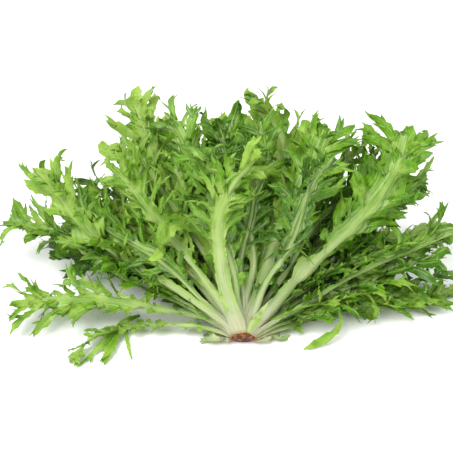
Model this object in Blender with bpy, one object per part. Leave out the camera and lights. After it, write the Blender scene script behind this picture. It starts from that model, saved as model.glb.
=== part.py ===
"""A head of curly endive, lying on its side with its cut stem to the front.

Metres, +Z up, with the surface it lies on at z = 0. Every leaf is one closed solid: a pale rib
with a blade cut into lobes. It grows from a short core, whose brown cut face points forward (-Y).
The leaves stand in nested cones round the core's axis, the outermost leaves on the widest cone.
"""

import math

import bmesh
import bpy
import numpy as np
from mathutils.bvhtree import BVHTree

MM = 0.001
SEED = 41

# The core is a short turned stem. Each pair is a distance along the axis and a radius there.
AXIS_RISE = math.radians(25.0)
CUT_FACE_HEIGHT = 7.3 * MM
CORE_PROFILE = [
    (-1.2 * MM, 5.0 * MM),
    (0.0, 8.4 * MM),
    (2.0 * MM, 9.6 * MM),
    (6.5 * MM, 12.0 * MM),
    (15.0 * MM, 12.3 * MM),
    (27.0 * MM, 9.3 * MM),
    (38.0 * MM, 6.2 * MM),
    (46.0 * MM, 3.4 * MM),
]
CORE_SIDES = 20
GAP = 0.3 * MM

# Rows of leaves, outermost first: the angle from the axis in degrees and the leaves in the row.
WIDEST_ROW = 74
ROWS = [(71, 6), (64, 6), (57, 7), (50, 7), (43, 7), (36, 6), (29, 6), (22, 5), (15, 4), (8, 2)]
FIRST_ROW = 3.0 * MM
ROW_STEP = 4.2 * MM
ROW_ANGLE = 7.0
LOWEST_AIM = math.radians(1.0)
FRONT_LIMIT = 0.08
SIDE_LIMIT = math.radians(72)
OUTER_REACH = 188 * MM
HEART_REACH = 142 * MM

# The ribs and blades.
OUTER_RIB = 8.0 * MM
HEART_RIB = 3.6 * MM
RIB_DEPTH = 2.4 * MM
BLADE_THICKNESS = 0.8 * MM
BLADE_WIDTH = 30 * MM
LOBE_SWEEP = 0.8
LOBES_ON_A_SIDE = (6, 5, 4)

# A leaf's outline, in shares of its length, width or depth: three places along its stalk and the
# stalk's edge there, how narrow the blade starts and how fast it widens, how wide its bays and its
# last end are, and how its rib thins and how much of it stands above the blade.
STALK_PLACES = (0.0, 0.27, 0.6)
STALK_EDGES = (0.45, 0.55, 0.5)
BLADE_END = 0.96
LAST_SHARE = 1.03
NARROW_START = 0.13
WIDEST_SPAN = 0.70
BAY_SHARE = 0.6
TAIL_SHARE = 0.06
RIB_TAPER = 0.72
FOOT_TAPER = 0.3
RIB_ABOVE = 0.25

# How the head settles: tall leaves sag, and nothing goes below the surface.
SAG_HEIGHT = 200 * MM
SAG = 34 * MM
FLOOR_SOFTNESS = 2.2 * MM
FLOOR_GAP = 0.12 * MM

# Finishes: a colour and a roughness each. A leaf further from the axis than these degrees is of that
# kind.
FINISHES = {
    "cut_stem": ((0.62, 0.60, 0.42), 0.7),
    "torn_base": ((0.74, 0.76, 0.52), 0.45),
    "outer_leaf": ((0.20, 0.38, 0.05), 0.45),
    "middle_leaf": ((0.28, 0.48, 0.07), 0.45),
    "heart_leaf": ((0.42, 0.60, 0.14), 0.45),
}
OUTER_FROM = 46
MIDDLE_FROM = 24

TRIALS = 30
CLEARANCE = 0.3 * MM
PATH_STEPS = 48

# A leaf whose tip is lower than the low height lies with its face up, one above the high height
# faces the axis. Its roll and twist grow from its foot, and are full at a share of its length.
LOW_TIP = 10 * MM
HIGH_TIP = 80 * MM
FLAT_SHARE = 0.85
TWIST_START = 0.15
TURN_FULL = 0.25
HALF_DEPTH = 0.6

AXIS = np.array([0.0, math.cos(AXIS_RISE), math.sin(AXIS_RISE)])
UPPER_SIDE = np.array([0.0, -math.sin(AXIS_RISE), math.cos(AXIS_RISE)])
RIGHT_SIDE = np.array([1.0, 0.0, 0.0])
CUT_CENTRE = np.array([0.0, 0.0, CUT_FACE_HEIGHT])

# Leaves that the eye knows, each with these values: where it points (degrees right of +Y, and above
# the surface), its length and rib width in mm, its width share, how deep it is cut, its sideways
# swing, sideways bend and curl towards or off the axis in degrees, and its distance along the core
# in mm, or None where its angle gives it.
KNOWN_FIELDS = ("azimuth", "height", "reach", "rib", "width", "cut", "swing", "bend", "curl", "base")
KNOWN_LEAVES = [
    (-88, 5, 166, 7.5, 1.3, 0.85, 8, -6, 6, 13),
    (-89, 1, 139, 5.0, 0.4, 0.8, -25, -12, 81, 4),
    (-67, 7, 212, 7.0, 0.95, 0.5, -3, 0, 8, 20),
    (-70, 23, 212, 7.0, 1.15, 0.5, -30, 24, -7, None),
    (-47, 46, 210, 7.0, 1.35, 0.25, -12, 17, -5, None),
    (-68, 50, 169, 7.5, 0.9, 0.6, -16, 3, -1, None),
    (-95, 71, 190, 9.0, 1.0, 0.4, 4, 97, -40, None),
    (55, 65, 192, 8.0, 1.05, 0.4, -1, -10, -3, None),
    (73, 36, 213, 11.0, 1.25, 0.35, 10, -42, -20, None),
    (34, 51, 205, 6.5, 1.0, 0.4, 26, -80, 12, None),
    (64, 5, 203, 7.0, 0.9, 0.55, -6, 1, 6, 15),
    (78, 3, 140, 5.5, 0.75, 0.9, 4, 6, 8, 9),
]

# Two outer leaves were torn off and left a pale base each, flat on the surface beside the cut face.
TORN_BASES = {"torn_base_left": (-84, 42 * MM), "torn_base_right": (70, 32 * MM)}
TORN_BASE_RIB = 9.0 * MM
TORN_BASE_GAP = 1.4 * MM
TORN_BASE_FALL = -8


def direction(polar, around):
    """Unit vectors at an angle from the axis and an angle round it, from straight up to the right."""
    polar = np.asarray(polar, float)[..., None]
    around = np.asarray(around, float)[..., None]
    outward = np.cos(around) * UPPER_SIDE + np.sin(around) * RIGHT_SIDE
    return np.cos(polar) * AXIS + np.sin(polar) * outward


def aim(azimuth, height):
    """The angle from the axis and the angle round it of a direction given over the surface."""
    azimuth, height = math.radians(azimuth), math.radians(height)
    flat = math.cos(height)
    towards = np.array([math.sin(azimuth) * flat, math.cos(azimuth) * flat, math.sin(height)])
    polar = math.acos(float(towards @ AXIS))
    around = math.atan2(float(towards @ RIGHT_SIDE), float(towards @ UPPER_SIDE))
    return polar, around


def row_places(polar, count, shift):
    """Angles round the axis at which a row's leaves clear the surface and don't lean to the front."""
    around = np.radians(np.arange(-180.0, 180.0, 0.5))
    towards = direction(np.full(len(around), polar), around)
    above = towards[:, 2] > math.sin(LOWEST_AIM)
    behind = (towards[:, 1] > FRONT_LIMIT) & (abs(np.arctan2(towards[:, 0], towards[:, 1])) < SIDE_LIMIT)
    free = around[above & behind]
    shares = (np.arange(count) + 0.5 + shift) / count
    return free[(shares * len(free)).astype(int) % len(free)]


def core_radius(along):
    """The core's radius at a distance along its axis."""
    distances, radii = zip(*CORE_PROFILE)
    return float(np.interp(along, distances, radii))


def leaf_rules():
    """One dictionary for each leaf to be placed: the known leaves first, then the rows."""
    rules = []
    for values in KNOWN_LEAVES:
        known = dict(zip(KNOWN_FIELDS, values))
        polar, around = aim(known["azimuth"], known["height"])
        rules.append(dict(known, polar=polar, around=around, known=True))
    for row, (degrees, count) in enumerate(ROWS):
        polar = math.radians(degrees)
        shift = 0.25 if row % 2 else -0.25
        for around in row_places(polar, count, shift):
            rules.append({"polar": polar, "around": around, "known": False})
    return rules


def leaf_values(number, rule, trial):
    """A leaf's own sizes, drawn from its number and the trial. A later trial may turn it further."""
    draw = np.random.default_rng([SEED, number, trial])
    spread = 1.0 + 0.1 * trial
    inner = 1.0 - rule["polar"] / math.radians(WIDEST_ROW)
    heart = max(0.0, inner - 0.4) / 0.6
    small = 0.35 if rule["known"] else 1.0
    lobes = LOBES_ON_A_SIDE[0 if heart == 0 else 1 if heart < 0.5 else 2]
    leaf = {
        "polar": rule["polar"] + math.radians(draw.normal(0, 1.5)) * spread * small,
        "around": rule["around"] + math.radians(draw.normal(0, 3.5)) * spread * small,
        "swing": math.radians(draw.normal(0, 5.0)),
        "bend": math.radians(draw.normal(0, 7.0)) * small,
        "open": draw.uniform(0.12, 0.32),
        "curl": math.radians(draw.uniform(-8, 16)),
        "droop": draw.uniform(0.0, 0.14) * small,
        "roll": math.radians(draw.normal(0, 11)) * small,
        "twist": math.radians(draw.normal(0, 24)),
        "cup": draw.uniform(0.05, 0.4),
        "reach": (OUTER_REACH + (HEART_REACH - OUTER_REACH) * heart) * draw.uniform(0.9, 1.03),
        "rib": (OUTER_RIB + (HEART_RIB - OUTER_RIB) * min(1.0, inner * 1.25)) * draw.uniform(0.85, 1.1),
        "width": BLADE_WIDTH * (1.0 - 0.42 * heart) * draw.uniform(0.75, 1.1),
        "cut": draw.uniform(0.35, 0.85),
        "starts": draw.uniform(0.26, 0.36),
        "steps": draw.uniform(0.6, 1.4, 4 * lobes),
        "lobes": draw.uniform(0.5, 1.2, (2, lobes)),
        "lifts": draw.normal(0, 0.26, (2, lobes)),
    }
    if rule["known"]:
        leaf["reach"] = rule["reach"] * MM
        leaf["rib"] = rule["rib"] * MM
        leaf["width"] = BLADE_WIDTH * rule["width"]
        leaf["cut"] = rule["cut"]
        for turn in ("swing", "bend", "curl"):
            leaf[turn] = math.radians(rule[turn])
    rows_in = (WIDEST_ROW - math.degrees(leaf["polar"])) / ROW_ANGLE
    leaf["along"] = FIRST_ROW + ROW_STEP * max(0.0, rows_in)
    if rule.get("base"):
        leaf["along"] = rule["base"] * MM
    leaf["depth"] = RIB_DEPTH * (leaf["rib"] / OUTER_RIB) ** 0.6
    leaf["gap"] = GAP
    return leaf


def torn_base_values(azimuth, reach):
    """The values of a torn leaf's base: a short broad rib with no lobes, close to the surface."""
    polar, around = aim(azimuth, TORN_BASE_FALL)
    return {
        "polar": polar, "around": around, "swing": 0.0, "bend": 0.0, "open": 0.0, "curl": 0.0,
        "droop": 0.0, "roll": 0.0, "twist": 0.0, "cup": 0.12, "reach": reach, "rib": TORN_BASE_RIB,
        "width": 0.3 * TORN_BASE_RIB, "cut": 0.2, "starts": 0.3, "steps": np.ones(4),
        "lobes": np.ones((2, 1)), "lifts": np.zeros((2, 1)), "along": 1.2 * MM, "depth": RIB_DEPTH,
        "gap": TORN_BASE_GAP,
    }


def settle(points):
    """Tall places sag by the square of their height, and low ones are eased above the surface."""
    settled = points.copy()
    share = np.clip(points[:, 2], 0.0, None) / SAG_HEIGHT
    height = points[:, 2] - SAG * share**2
    settled[:, 2] = 0.5 * (height + np.sqrt(height**2 + 4 * FLOOR_SOFTNESS**2))
    return settled


def centreline(leaf):
    """The leaf's middle line and the leaf's sideways and face directions along it.

    The line starts at the core, a little nearer the axis than it ends, so that it opens outwards,
    and its swing first bends it to one side and then back.
    """
    share = np.linspace(0.0, 1.0, PATH_STEPS)
    polar = leaf["polar"] * (1.0 - leaf["open"] * (1.0 - share) ** 2) + leaf["curl"] * share**3
    around = leaf["around"] + leaf["swing"] * np.sin(2 * math.pi * share) * share + leaf["bend"] * share**2
    towards = direction(polar, around)
    step = leaf["reach"] / (PATH_STEPS - 1)
    travelled = np.vstack([np.zeros(3), np.cumsum((towards[1:] + towards[:-1]) / 2 * step, axis=0)])
    outward = math.cos(leaf["around"]) * UPPER_SIDE + math.sin(leaf["around"]) * RIGHT_SIDE
    radius = max(core_radius(leaf["along"] + offset * MM) for offset in (-2, 0, 2))
    clear = radius + leaf["gap"] + leaf["depth"] * HALF_DEPTH * math.cos(polar[0])
    line = CUT_CENTRE + AXIS * leaf["along"] + outward * clear + travelled
    line[:, 2] -= leaf["droop"] * leaf["reach"] * share**2.5 * np.clip(towards[:, 1], 0.0, 1.0)
    line = settle(line)

    along = np.gradient(line, axis=0)
    along /= np.linalg.norm(along, axis=1, keepdims=True)
    inner_face = direction(polar - math.pi / 2, around)
    low = np.clip((HIGH_TIP - line[-1, 2]) / (HIGH_TIP - LOW_TIP), 0.0, 1.0)
    face = (1.0 - FLAT_SHARE * low) * inner_face + low * np.array([0.0, 0.0, 1.0])
    face -= (face * along).sum(1, keepdims=True) * along
    face /= np.linalg.norm(face, axis=1, keepdims=True)
    side = np.cross(along, face)
    turn = (leaf["roll"] + leaf["twist"] * (share - TWIST_START)) * np.clip(share / TURN_FULL, 0.0, 1.0)
    turned_side = np.cos(turn)[:, None] * side + np.sin(turn)[:, None] * face
    turned_face = np.cos(turn)[:, None] * face - np.sin(turn)[:, None] * side
    return share, line, along, turned_side, turned_face


def place_on_leaf(leaf, path, share, across, lift):
    """Points on the leaf at a share of its length, a distance to the side and a lift from the blade."""
    shares, line, along, side, face = path
    beyond = np.clip(share - 1.0, 0.0, None)[:, None] * leaf["reach"]

    def read(values):
        """A row of vectors read at the wanted shares."""
        return np.stack([np.interp(share, shares, values[:, axis]) for axis in range(3)], axis=1)

    return read(line) + beyond * along[-1] + across[:, None] * read(side) + lift[:, None] * read(face)


def margins(leaf):
    """The leaf's outline as columns along it: their shares, and half widths and lifts on each side.

    Four columns make a pair of lobes: a bay, the left lobe's point, a bay, the right lobe's point.
    """
    count = len(leaf["steps"])
    stalk = np.array(STALK_PLACES) * leaf["starts"]
    travelled = np.concatenate([[0.0], np.cumsum(leaf["steps"])]) / leaf["steps"].sum()
    blade = leaf["starts"] + (BLADE_END - leaf["starts"]) * travelled
    share = np.concatenate([stalk, blade, [LAST_SHARE]])
    rib = rib_half_width(leaf, share)
    envelope = np.sin(math.pi * (NARROW_START + WIDEST_SPAN * travelled**0.8)) ** 0.8
    bay = leaf["width"] * (1.0 - leaf["cut"]) * envelope * BAY_SHARE
    halves, lifts = [], []
    for side in (0, 1):
        points = np.arange(count + 1) % 4 == 1 + 2 * side
        lobe = np.concatenate([np.repeat(leaf["lobes"][side], 4), [0.0]])
        raised = np.concatenate([np.repeat(leaf["lifts"][side], 4), [0.0]])
        point = leaf["width"] * envelope * lobe
        half = np.where(points, np.maximum(point, bay), bay) + rib[len(stalk) : -1]
        lift = np.where(points, raised * point, 0.0) + leaf["cup"] * half
        tail = TAIL_SHARE * leaf["width"]
        halves.append(np.concatenate([rib[: len(stalk)], half, [tail]]))
        lifts.append(np.concatenate([np.zeros(len(stalk)), lift, [0.0]]))
    return share, halves, lifts


def rib_half_width(leaf, share):
    """Half the rib's width: narrow where it joins the core, then widest, and a third at the end."""
    base = 1.0 - 0.42 * np.clip(1.0 - share / 0.12, 0.0, 1.0)
    return leaf["rib"] / 2 * base * (1.0 - 0.68 * np.clip(share, 0.0, 1.0) ** 0.7)


def leaf_solid(leaf, extra=0.0):
    """The leaf's closed mesh. Each column has a left, a middle and a right place on both faces."""
    path = centreline(leaf)
    share, halves, lifts = margins(leaf)
    depth = leaf["depth"] * (1.0 - RIB_TAPER * share) + extra
    depth[0] -= FOOT_TAPER * leaf["depth"]
    edge = np.full(len(share), BLADE_THICKNESS + extra)
    edge[: len(STALK_EDGES)] = leaf["depth"] * np.array(STALK_EDGES) + extra
    rows = []
    for sign, half, lift in ((-1, halves[0], lifts[0]), (0, None, None), (1, halves[1], lifts[1])):
        if sign == 0:
            width, raised, swept, thick = np.zeros(len(share)), np.zeros(len(share)), share, depth
            upper = RIB_ABOVE
        else:
            width, raised, thick = half, lift, edge
            swept = share + LOBE_SWEEP * half * np.clip(share / leaf["starts"], 0, 1) ** 3 / leaf["reach"]
            upper = 0.5
        for lift_share in (upper, upper - 1.0):
            rows.append(place_on_leaf(leaf, path, swept, sign * width, raised + lift_share * thick))
    points = np.stack(rows, axis=1).reshape(-1, 3)
    points[:, 2] = np.maximum(points[:, 2], FLOOR_GAP)
    return points, leaf_faces(leaf, len(share))


def leaf_faces(leaf, columns):
    """Triangles and quads of a leaf whose columns hold six points: left, middle, right, each twice.

    A blade cell is split from a lobe's point, alike on both faces, so that the faces never cross.
    """
    faces = []
    for column in range(columns - 1):
        here, there = column * 6, column * 6 + 6
        for side, (outer, inner) in enumerate(((0, 2), (4, 2))):
            flipped = side == 1
            blade_column = column - 3
            point_here = blade_column >= 0 and blade_column % 4 == 1 + 2 * side
            for under in (0, 1):
                a, b = here + outer + under, here + inner + under
                c, d = there + inner + under, there + outer + under
                cells = [(a, b, c), (a, c, d)] if point_here else [(a, b, d), (b, c, d)]
                for cell in cells:
                    faces.append(cell if flipped == bool(under) else cell[::-1])
            a, b, c, d = here + outer, here + outer + 1, there + outer + 1, there + outer
            faces.append((a, b, c, d) if flipped else (d, c, b, a))
    last = (columns - 1) * 6
    faces.append((0, 1, 3, 5, 4, 2))
    faces.append(tuple(last + place for place in (2, 4, 5, 3, 1, 0)))
    return faces


def material(name, colour, roughness):
    """A plain material of one colour."""
    made = bpy.data.materials.new(name)
    made.use_nodes = True
    shader = made.node_tree.nodes["Principled BSDF"]
    shader.inputs["Base Color"].default_value = (*colour, 1.0)
    shader.inputs["Roughness"].default_value = roughness
    shader.inputs["Metallic"].default_value = 0.0
    return made


def add_object(name, points, faces, finish):
    """A new object in the scene from points and faces."""
    mesh = bpy.data.meshes.new(name)
    mesh.from_pydata([tuple(point) for point in points], [], faces)
    mesh.materials.append(finish)
    mesh.update()
    made = bpy.data.objects.new(name, mesh)
    bpy.context.scene.collection.objects.link(made)
    return made


def core(finish):
    """The core: its profile turned round the axis, closed at both ends, with a flat spot below."""
    turns = np.linspace(0.0, 2 * math.pi, CORE_SIDES, endpoint=False)
    outward = np.cos(turns)[:, None] * UPPER_SIDE + np.sin(turns)[:, None] * RIGHT_SIDE
    rings = [CUT_CENTRE + AXIS * along + outward * radius for along, radius in CORE_PROFILE]
    points = np.vstack(rings)
    faces = []
    for ring in range(len(rings) - 1):
        for side in range(CORE_SIDES):
            after = (side + 1) % CORE_SIDES
            near, far = ring * CORE_SIDES, (ring + 1) * CORE_SIDES
            faces.append((near + side, far + side, far + after, near + after))
    faces.append(tuple(range(CORE_SIDES)))
    faces.append(tuple(reversed(range(len(points) - CORE_SIDES, len(points)))))
    made = add_object("core", points, faces, finish)
    shape = bmesh.new()
    shape.from_mesh(made.data)
    bmesh.ops.recalc_face_normals(shape, faces=shape.faces)
    everything = shape.verts[:] + shape.edges[:] + shape.faces[:]
    cut = bmesh.ops.bisect_plane(shape, geom=everything, plane_no=(0, 0, -1), clear_outer=True)
    rim = [piece for piece in cut["geom_cut"] if isinstance(piece, bmesh.types.BMEdge)]
    bmesh.ops.edgeloop_fill(shape, edges=rim)
    bmesh.ops.recalc_face_normals(shape, faces=shape.faces)
    shape.to_mesh(made.data)
    shape.free()
    return made


def tree_of(points, faces):
    """A search tree of a mesh, and its lowest and highest corner."""
    tree = BVHTree.FromPolygons([tuple(point) for point in points], faces)
    return tree, points.min(0), points.max(0)


def meets(candidate, placed):
    """True if the candidate's surface crosses a placed one."""
    tree, low, high = candidate
    for other, other_low, other_high in placed:
        if (low < other_high).all() and (other_low < high).all() and tree.overlap(other):
            return True
    return False


def place_leaves(placed):
    """Each leaf at its first trial that crosses nothing. One that finds no free place is left out."""
    kept = {}
    for name, (azimuth, reach) in TORN_BASES.items():
        kept[name] = torn_base_values(azimuth, reach)
        placed.append(tree_of(*leaf_solid(kept[name], extra=CLEARANCE)))
    for number, rule in enumerate(leaf_rules(), start=1):
        for trial in range(TRIALS):
            leaf = leaf_values(number, rule, trial)
            candidate = tree_of(*leaf_solid(leaf, extra=CLEARANCE))
            if not meets(candidate, placed):
                placed.append(candidate)
                kept[f"leaf_{number:02d}"] = leaf
                break
    return kept


def leaf_kind(name, leaf):
    """The finish a leaf takes: torn bases are pale, and leaves grow paler towards the heart."""
    if name in TORN_BASES:
        return "torn_base"
    degrees = math.degrees(leaf["polar"])
    return "outer_leaf" if degrees > OUTER_FROM else "middle_leaf" if degrees > MIDDLE_FROM else "heart_leaf"


def centre_over_origin(objects):
    """Moves every mesh alike, so that the middle of the whole head's box lies over the origin."""
    corners = np.array([vertex.co for made in objects for vertex in made.data.vertices])
    middle = (corners.min(0) + corners.max(0)) / 2
    for made in objects:
        for vertex in made.data.vertices:
            vertex.co.x -= middle[0]
            vertex.co.y -= middle[1]


def main():
    """Clears the scene, then makes the core and every leaf, centred over the origin."""
    for old in list(bpy.data.objects):
        bpy.data.objects.remove(old)
    finishes = {name: material(name, *look) for name, look in FINISHES.items()}
    stem = core(finishes["cut_stem"])
    stem_points = np.array([vertex.co for vertex in stem.data.vertices])
    stem_faces = [tuple(face.vertices) for face in stem.data.polygons]
    objects = [stem]
    for name, leaf in place_leaves([tree_of(stem_points, stem_faces)]).items():
        objects.append(add_object(name, *leaf_solid(leaf), finishes[leaf_kind(name, leaf)]))
    centre_over_origin(objects)


main()
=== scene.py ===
"""A head of curly endive, dressed round its solids: fine leaves, core, torn bases and studio.

Metres, +Z up, +Y from the cut stem towards the leaf tips. Each leaf solid is replaced by a fine one
that follows the same middle line and has its large lobes at the same places. The lines are worked
out by the same rules as the solids' own.
"""

import math

import bpy
import numpy as np
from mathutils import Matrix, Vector


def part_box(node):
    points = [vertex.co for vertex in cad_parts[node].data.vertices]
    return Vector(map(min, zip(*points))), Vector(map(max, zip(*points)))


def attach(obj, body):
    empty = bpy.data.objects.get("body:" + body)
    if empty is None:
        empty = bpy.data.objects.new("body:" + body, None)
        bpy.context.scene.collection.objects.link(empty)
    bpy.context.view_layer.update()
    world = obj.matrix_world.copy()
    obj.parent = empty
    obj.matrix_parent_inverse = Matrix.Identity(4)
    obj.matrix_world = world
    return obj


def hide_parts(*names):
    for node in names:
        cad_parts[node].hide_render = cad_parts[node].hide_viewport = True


bl_info = {
    "name": "Curly endive",
    "version": (1, 0, 0),
    "blender": (4, 5, 0),
    "location": "3D View > Sidebar > Endive",
    "description": "Makes the fine leaves, core and studio of a head of curly endive",
    "category": "Add Mesh",
}

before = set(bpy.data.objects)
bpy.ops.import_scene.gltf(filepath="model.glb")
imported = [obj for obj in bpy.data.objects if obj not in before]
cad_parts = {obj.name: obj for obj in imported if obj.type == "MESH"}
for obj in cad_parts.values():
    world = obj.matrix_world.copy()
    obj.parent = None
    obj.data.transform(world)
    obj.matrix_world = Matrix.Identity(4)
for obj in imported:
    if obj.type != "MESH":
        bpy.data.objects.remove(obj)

MM = 0.001

# Every random draw starts from the seed, a leaf's number and what the draw is for. Pieces that have
# no leaf solid are numbered from these values on.
SEED = 41
FOR_TINT, FOR_SWAY, FOR_SIDE, FOR_TIP, FOR_FOOT = 5, 6, 7, 8, 9
FIRST_INNER = 500
FIRST_STRAND = 700
FIRST_TORN = 900

# The layout of the head. These values and the rules below them are the solids' own.
AXIS_RISE = math.radians(25.0)
CUT_FACE_HEIGHT = 7.3 * MM
CORE_PROFILE = [
    (-1.2 * MM, 5.0 * MM),
    (0.0, 8.4 * MM),
    (2.0 * MM, 9.6 * MM),
    (6.5 * MM, 12.0 * MM),
    (15.0 * MM, 12.3 * MM),
    (27.0 * MM, 9.3 * MM),
    (38.0 * MM, 6.2 * MM),
    (46.0 * MM, 3.4 * MM),
]
GAP = 0.3 * MM
WIDEST_ROW = 74
ROWS = [(71, 6), (64, 6), (57, 7), (50, 7), (43, 7), (36, 6), (29, 6), (22, 5), (15, 4), (8, 2)]
FIRST_ROW = 3.0 * MM
ROW_STEP = 4.2 * MM
ROW_ANGLE = 7.0
LOWEST_AIM = math.radians(1.0)
FRONT_LIMIT = 0.08
SIDE_LIMIT = math.radians(72)
OUTER_REACH = 188 * MM
HEART_REACH = 142 * MM
OUTER_RIB = 8.0 * MM
HEART_RIB = 3.6 * MM
RIB_DEPTH = 2.4 * MM
BLADE_WIDTH = 30 * MM
LOBES_ON_A_SIDE = (6, 5, 4)
SAG_HEIGHT = 200 * MM
SAG = 34 * MM
FLOOR_SOFTNESS = 2.2 * MM
OUTER_FROM = 46
MIDDLE_FROM = 24
TRIALS = 30
PATH_STEPS = 48

# A leaf whose tip is lower than the low height lies with its face up, one above the high height
# faces the axis. Its roll and twist grow from its foot, and are full at a share of its length.
LOW_TIP = 10 * MM
HIGH_TIP = 80 * MM
FLAT_SHARE = 0.85
TWIST_START = 0.15
TURN_FULL = 0.25
HALF_DEPTH = 0.6

# Leaves that the eye knows, each with these values: where it points (degrees right of +Y, and above
# the surface), its length and rib width in mm, its width share, how deep it is cut, its sideways
# swing, sideways bend and curl towards or off the axis in degrees, and its distance along the core
# in mm, or None where its angle gives it.
KNOWN_FIELDS = ("azimuth", "height", "reach", "rib", "width", "cut", "swing", "bend", "curl", "base")
KNOWN_LEAVES = [
    (-88, 5, 166, 7.5, 1.3, 0.85, 8, -6, 6, 13),
    (-89, 1, 139, 5.0, 0.4, 0.8, -25, -12, 81, 4),
    (-67, 7, 212, 7.0, 0.95, 0.5, -3, 0, 8, 20),
    (-70, 23, 212, 7.0, 1.15, 0.5, -30, 24, -7, None),
    (-47, 46, 210, 7.0, 1.35, 0.25, -12, 17, -5, None),
    (-68, 50, 169, 7.5, 0.9, 0.6, -16, 3, -1, None),
    (-95, 71, 190, 9.0, 1.0, 0.4, 4, 97, -40, None),
    (55, 65, 192, 8.0, 1.05, 0.4, -1, -10, -3, None),
    (73, 36, 213, 11.0, 1.25, 0.35, 10, -42, -20, None),
    (34, 51, 205, 6.5, 1.0, 0.4, 26, -80, 12, None),
    (64, 5, 203, 7.0, 0.9, 0.55, -6, 1, 6, 15),
    (78, 3, 140, 5.5, 0.75, 0.9, 4, 6, 8, 9),
]
TORN_BASES = {"torn_base_left": (-84, 42 * MM), "torn_base_right": (70, 32 * MM)}
TORN_BASE_RIB = 9.0 * MM
TORN_BASE_GAP = 1.4 * MM
TORN_BASE_FALL = -8

AXIS = np.array([0.0, math.cos(AXIS_RISE), math.sin(AXIS_RISE)])
UPPER_SIDE = np.array([0.0, -math.sin(AXIS_RISE), math.cos(AXIS_RISE)])
RIGHT_SIDE = np.array([1.0, 0.0, 0.0])

# The solids' middle lies over the origin, so the cut face's centre is read from the core's box.
CORE_LOW, CORE_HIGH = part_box("core")
CORE_FRONT = min(along * AXIS[1] + radius * UPPER_SIDE[1] for along, radius in CORE_PROFILE)
CUT_CENTRE = np.array([(CORE_LOW.x + CORE_HIGH.x) / 2, CORE_LOW.y - CORE_FRONT, CUT_FACE_HEIGHT])

# A fine leaf's grid: columns along it, and places across each side of it, as shares of the rib's
# half width and then of the blade beside it. The blade's columns end before the leaf's own end, and
# the grid runs on a little past it.
LEAF_COLUMNS = 92
INNER_COLUMNS = 60
TORN_COLUMNS = 60
RIB_PLACES = np.array([0.0, 0.55, 1.0])
BLADE_PLACES = np.array([0.35, 0.7, 1.0])
BLADE_END = 0.96
LAST_SHARE = 1.03

# The share of a lobe's height that is web on a deeply cut leaf, and how much more a whole leaf has.
WEB_SHARE = 0.27
WHOLE_WEB_SHARE = 0.36

# Lobes and their forks: the columns of each, how many lobes fan out at a leaf's end, and the longest
# free end. A ring gives the places round a strip: across it, as a share of its half width, and below
# its face, in blade thicknesses.
LOBE_COLUMNS = 11
FORK_COLUMNS = 7
TIP_LOBES = 5
LONGEST_LOBE = 32 * MM
LOBE_RING = np.array([(-1, 0), (-0.4, 0), (0.4, 0), (1, 0), (0.4, -1.3), (-0.4, -1.3)])
FORK_RING = np.array([(-1, 0), (0, 0), (1, 0), (0, -1)])

# A blade's edge: how far apart its small teeth stand, and the lengths of the waves that ruffle it.
TOOTH_SPACING = 5.0 * MM
RUFFLE_LENGTHS = (26 * MM, 15 * MM, 9 * MM)

# A rib runs on down the core's side, for this far at most and in so many steps. The slow waves of a
# leaf's line are this high, and the pale colour round a rib reaches this far into the blade.
LONGEST_FOOT = 16 * MM
FOOT_STEPS = 10
SWAY = 4.5 * MM
PALE_ZONE = 9 * MM

# How many times as broad as its solid's a rib is, on leaves that the eye knows and on the others.
# Then, by number, the leaves with looks of their own: a broader rib, a blade that is cut deeper than
# its solid's, and the share of the leaf that is a bare stalk.
KNOWN_BREADTH = 1.3
OTHER_BREADTH = 1.1
BROAD_RIBS = {1: 1.7, 3: 1.6, 7: 1.5, 8: 1.4, 9: 1.9, 11: 1.6}
DEEPER_CUT = {5: 0.5, 6: 0.75, 7: 0.85, 8: 0.65}
BARE_STALKS = {1: 0.48, 3: 0.36, 4: 0.34, 7: 0.48, 8: 0.4, 9: 0.36, 11: 0.4, 12: 0.5}

# What is left of a torn leaf: its length and width, and how light, how near its foot and how much of
# a rib it looks.
TORN_REACH = 20 * MM
TORN_WIDTH = 8 * MM
TORN_TINT = 0.4
TORN_ALONG = 0.15
TORN_LEAST_RIB = 0.4

# The small inner leaves: how many pieces they make, how many aims each one draws, how far from the
# axis and how far back it points, and the share of its length where a low one's blade starts. One in
# so many lies low to one side.
INNER_GROUPS = 4
INNER_AIMS = 40
INNER_WIDEST = math.radians(70)
INNER_BACK = 0.2
LOW_EVERY = 4
LOW_STARTS = 0.14

# How close leaves come to the surface and to the head's own top before they bend away from it.
FLOOR_EASE = 0.6 * MM
TOP_EASE = 7 * MM
HEAD_TOP = max(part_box(node)[1].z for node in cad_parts) - 2 * MM

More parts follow.
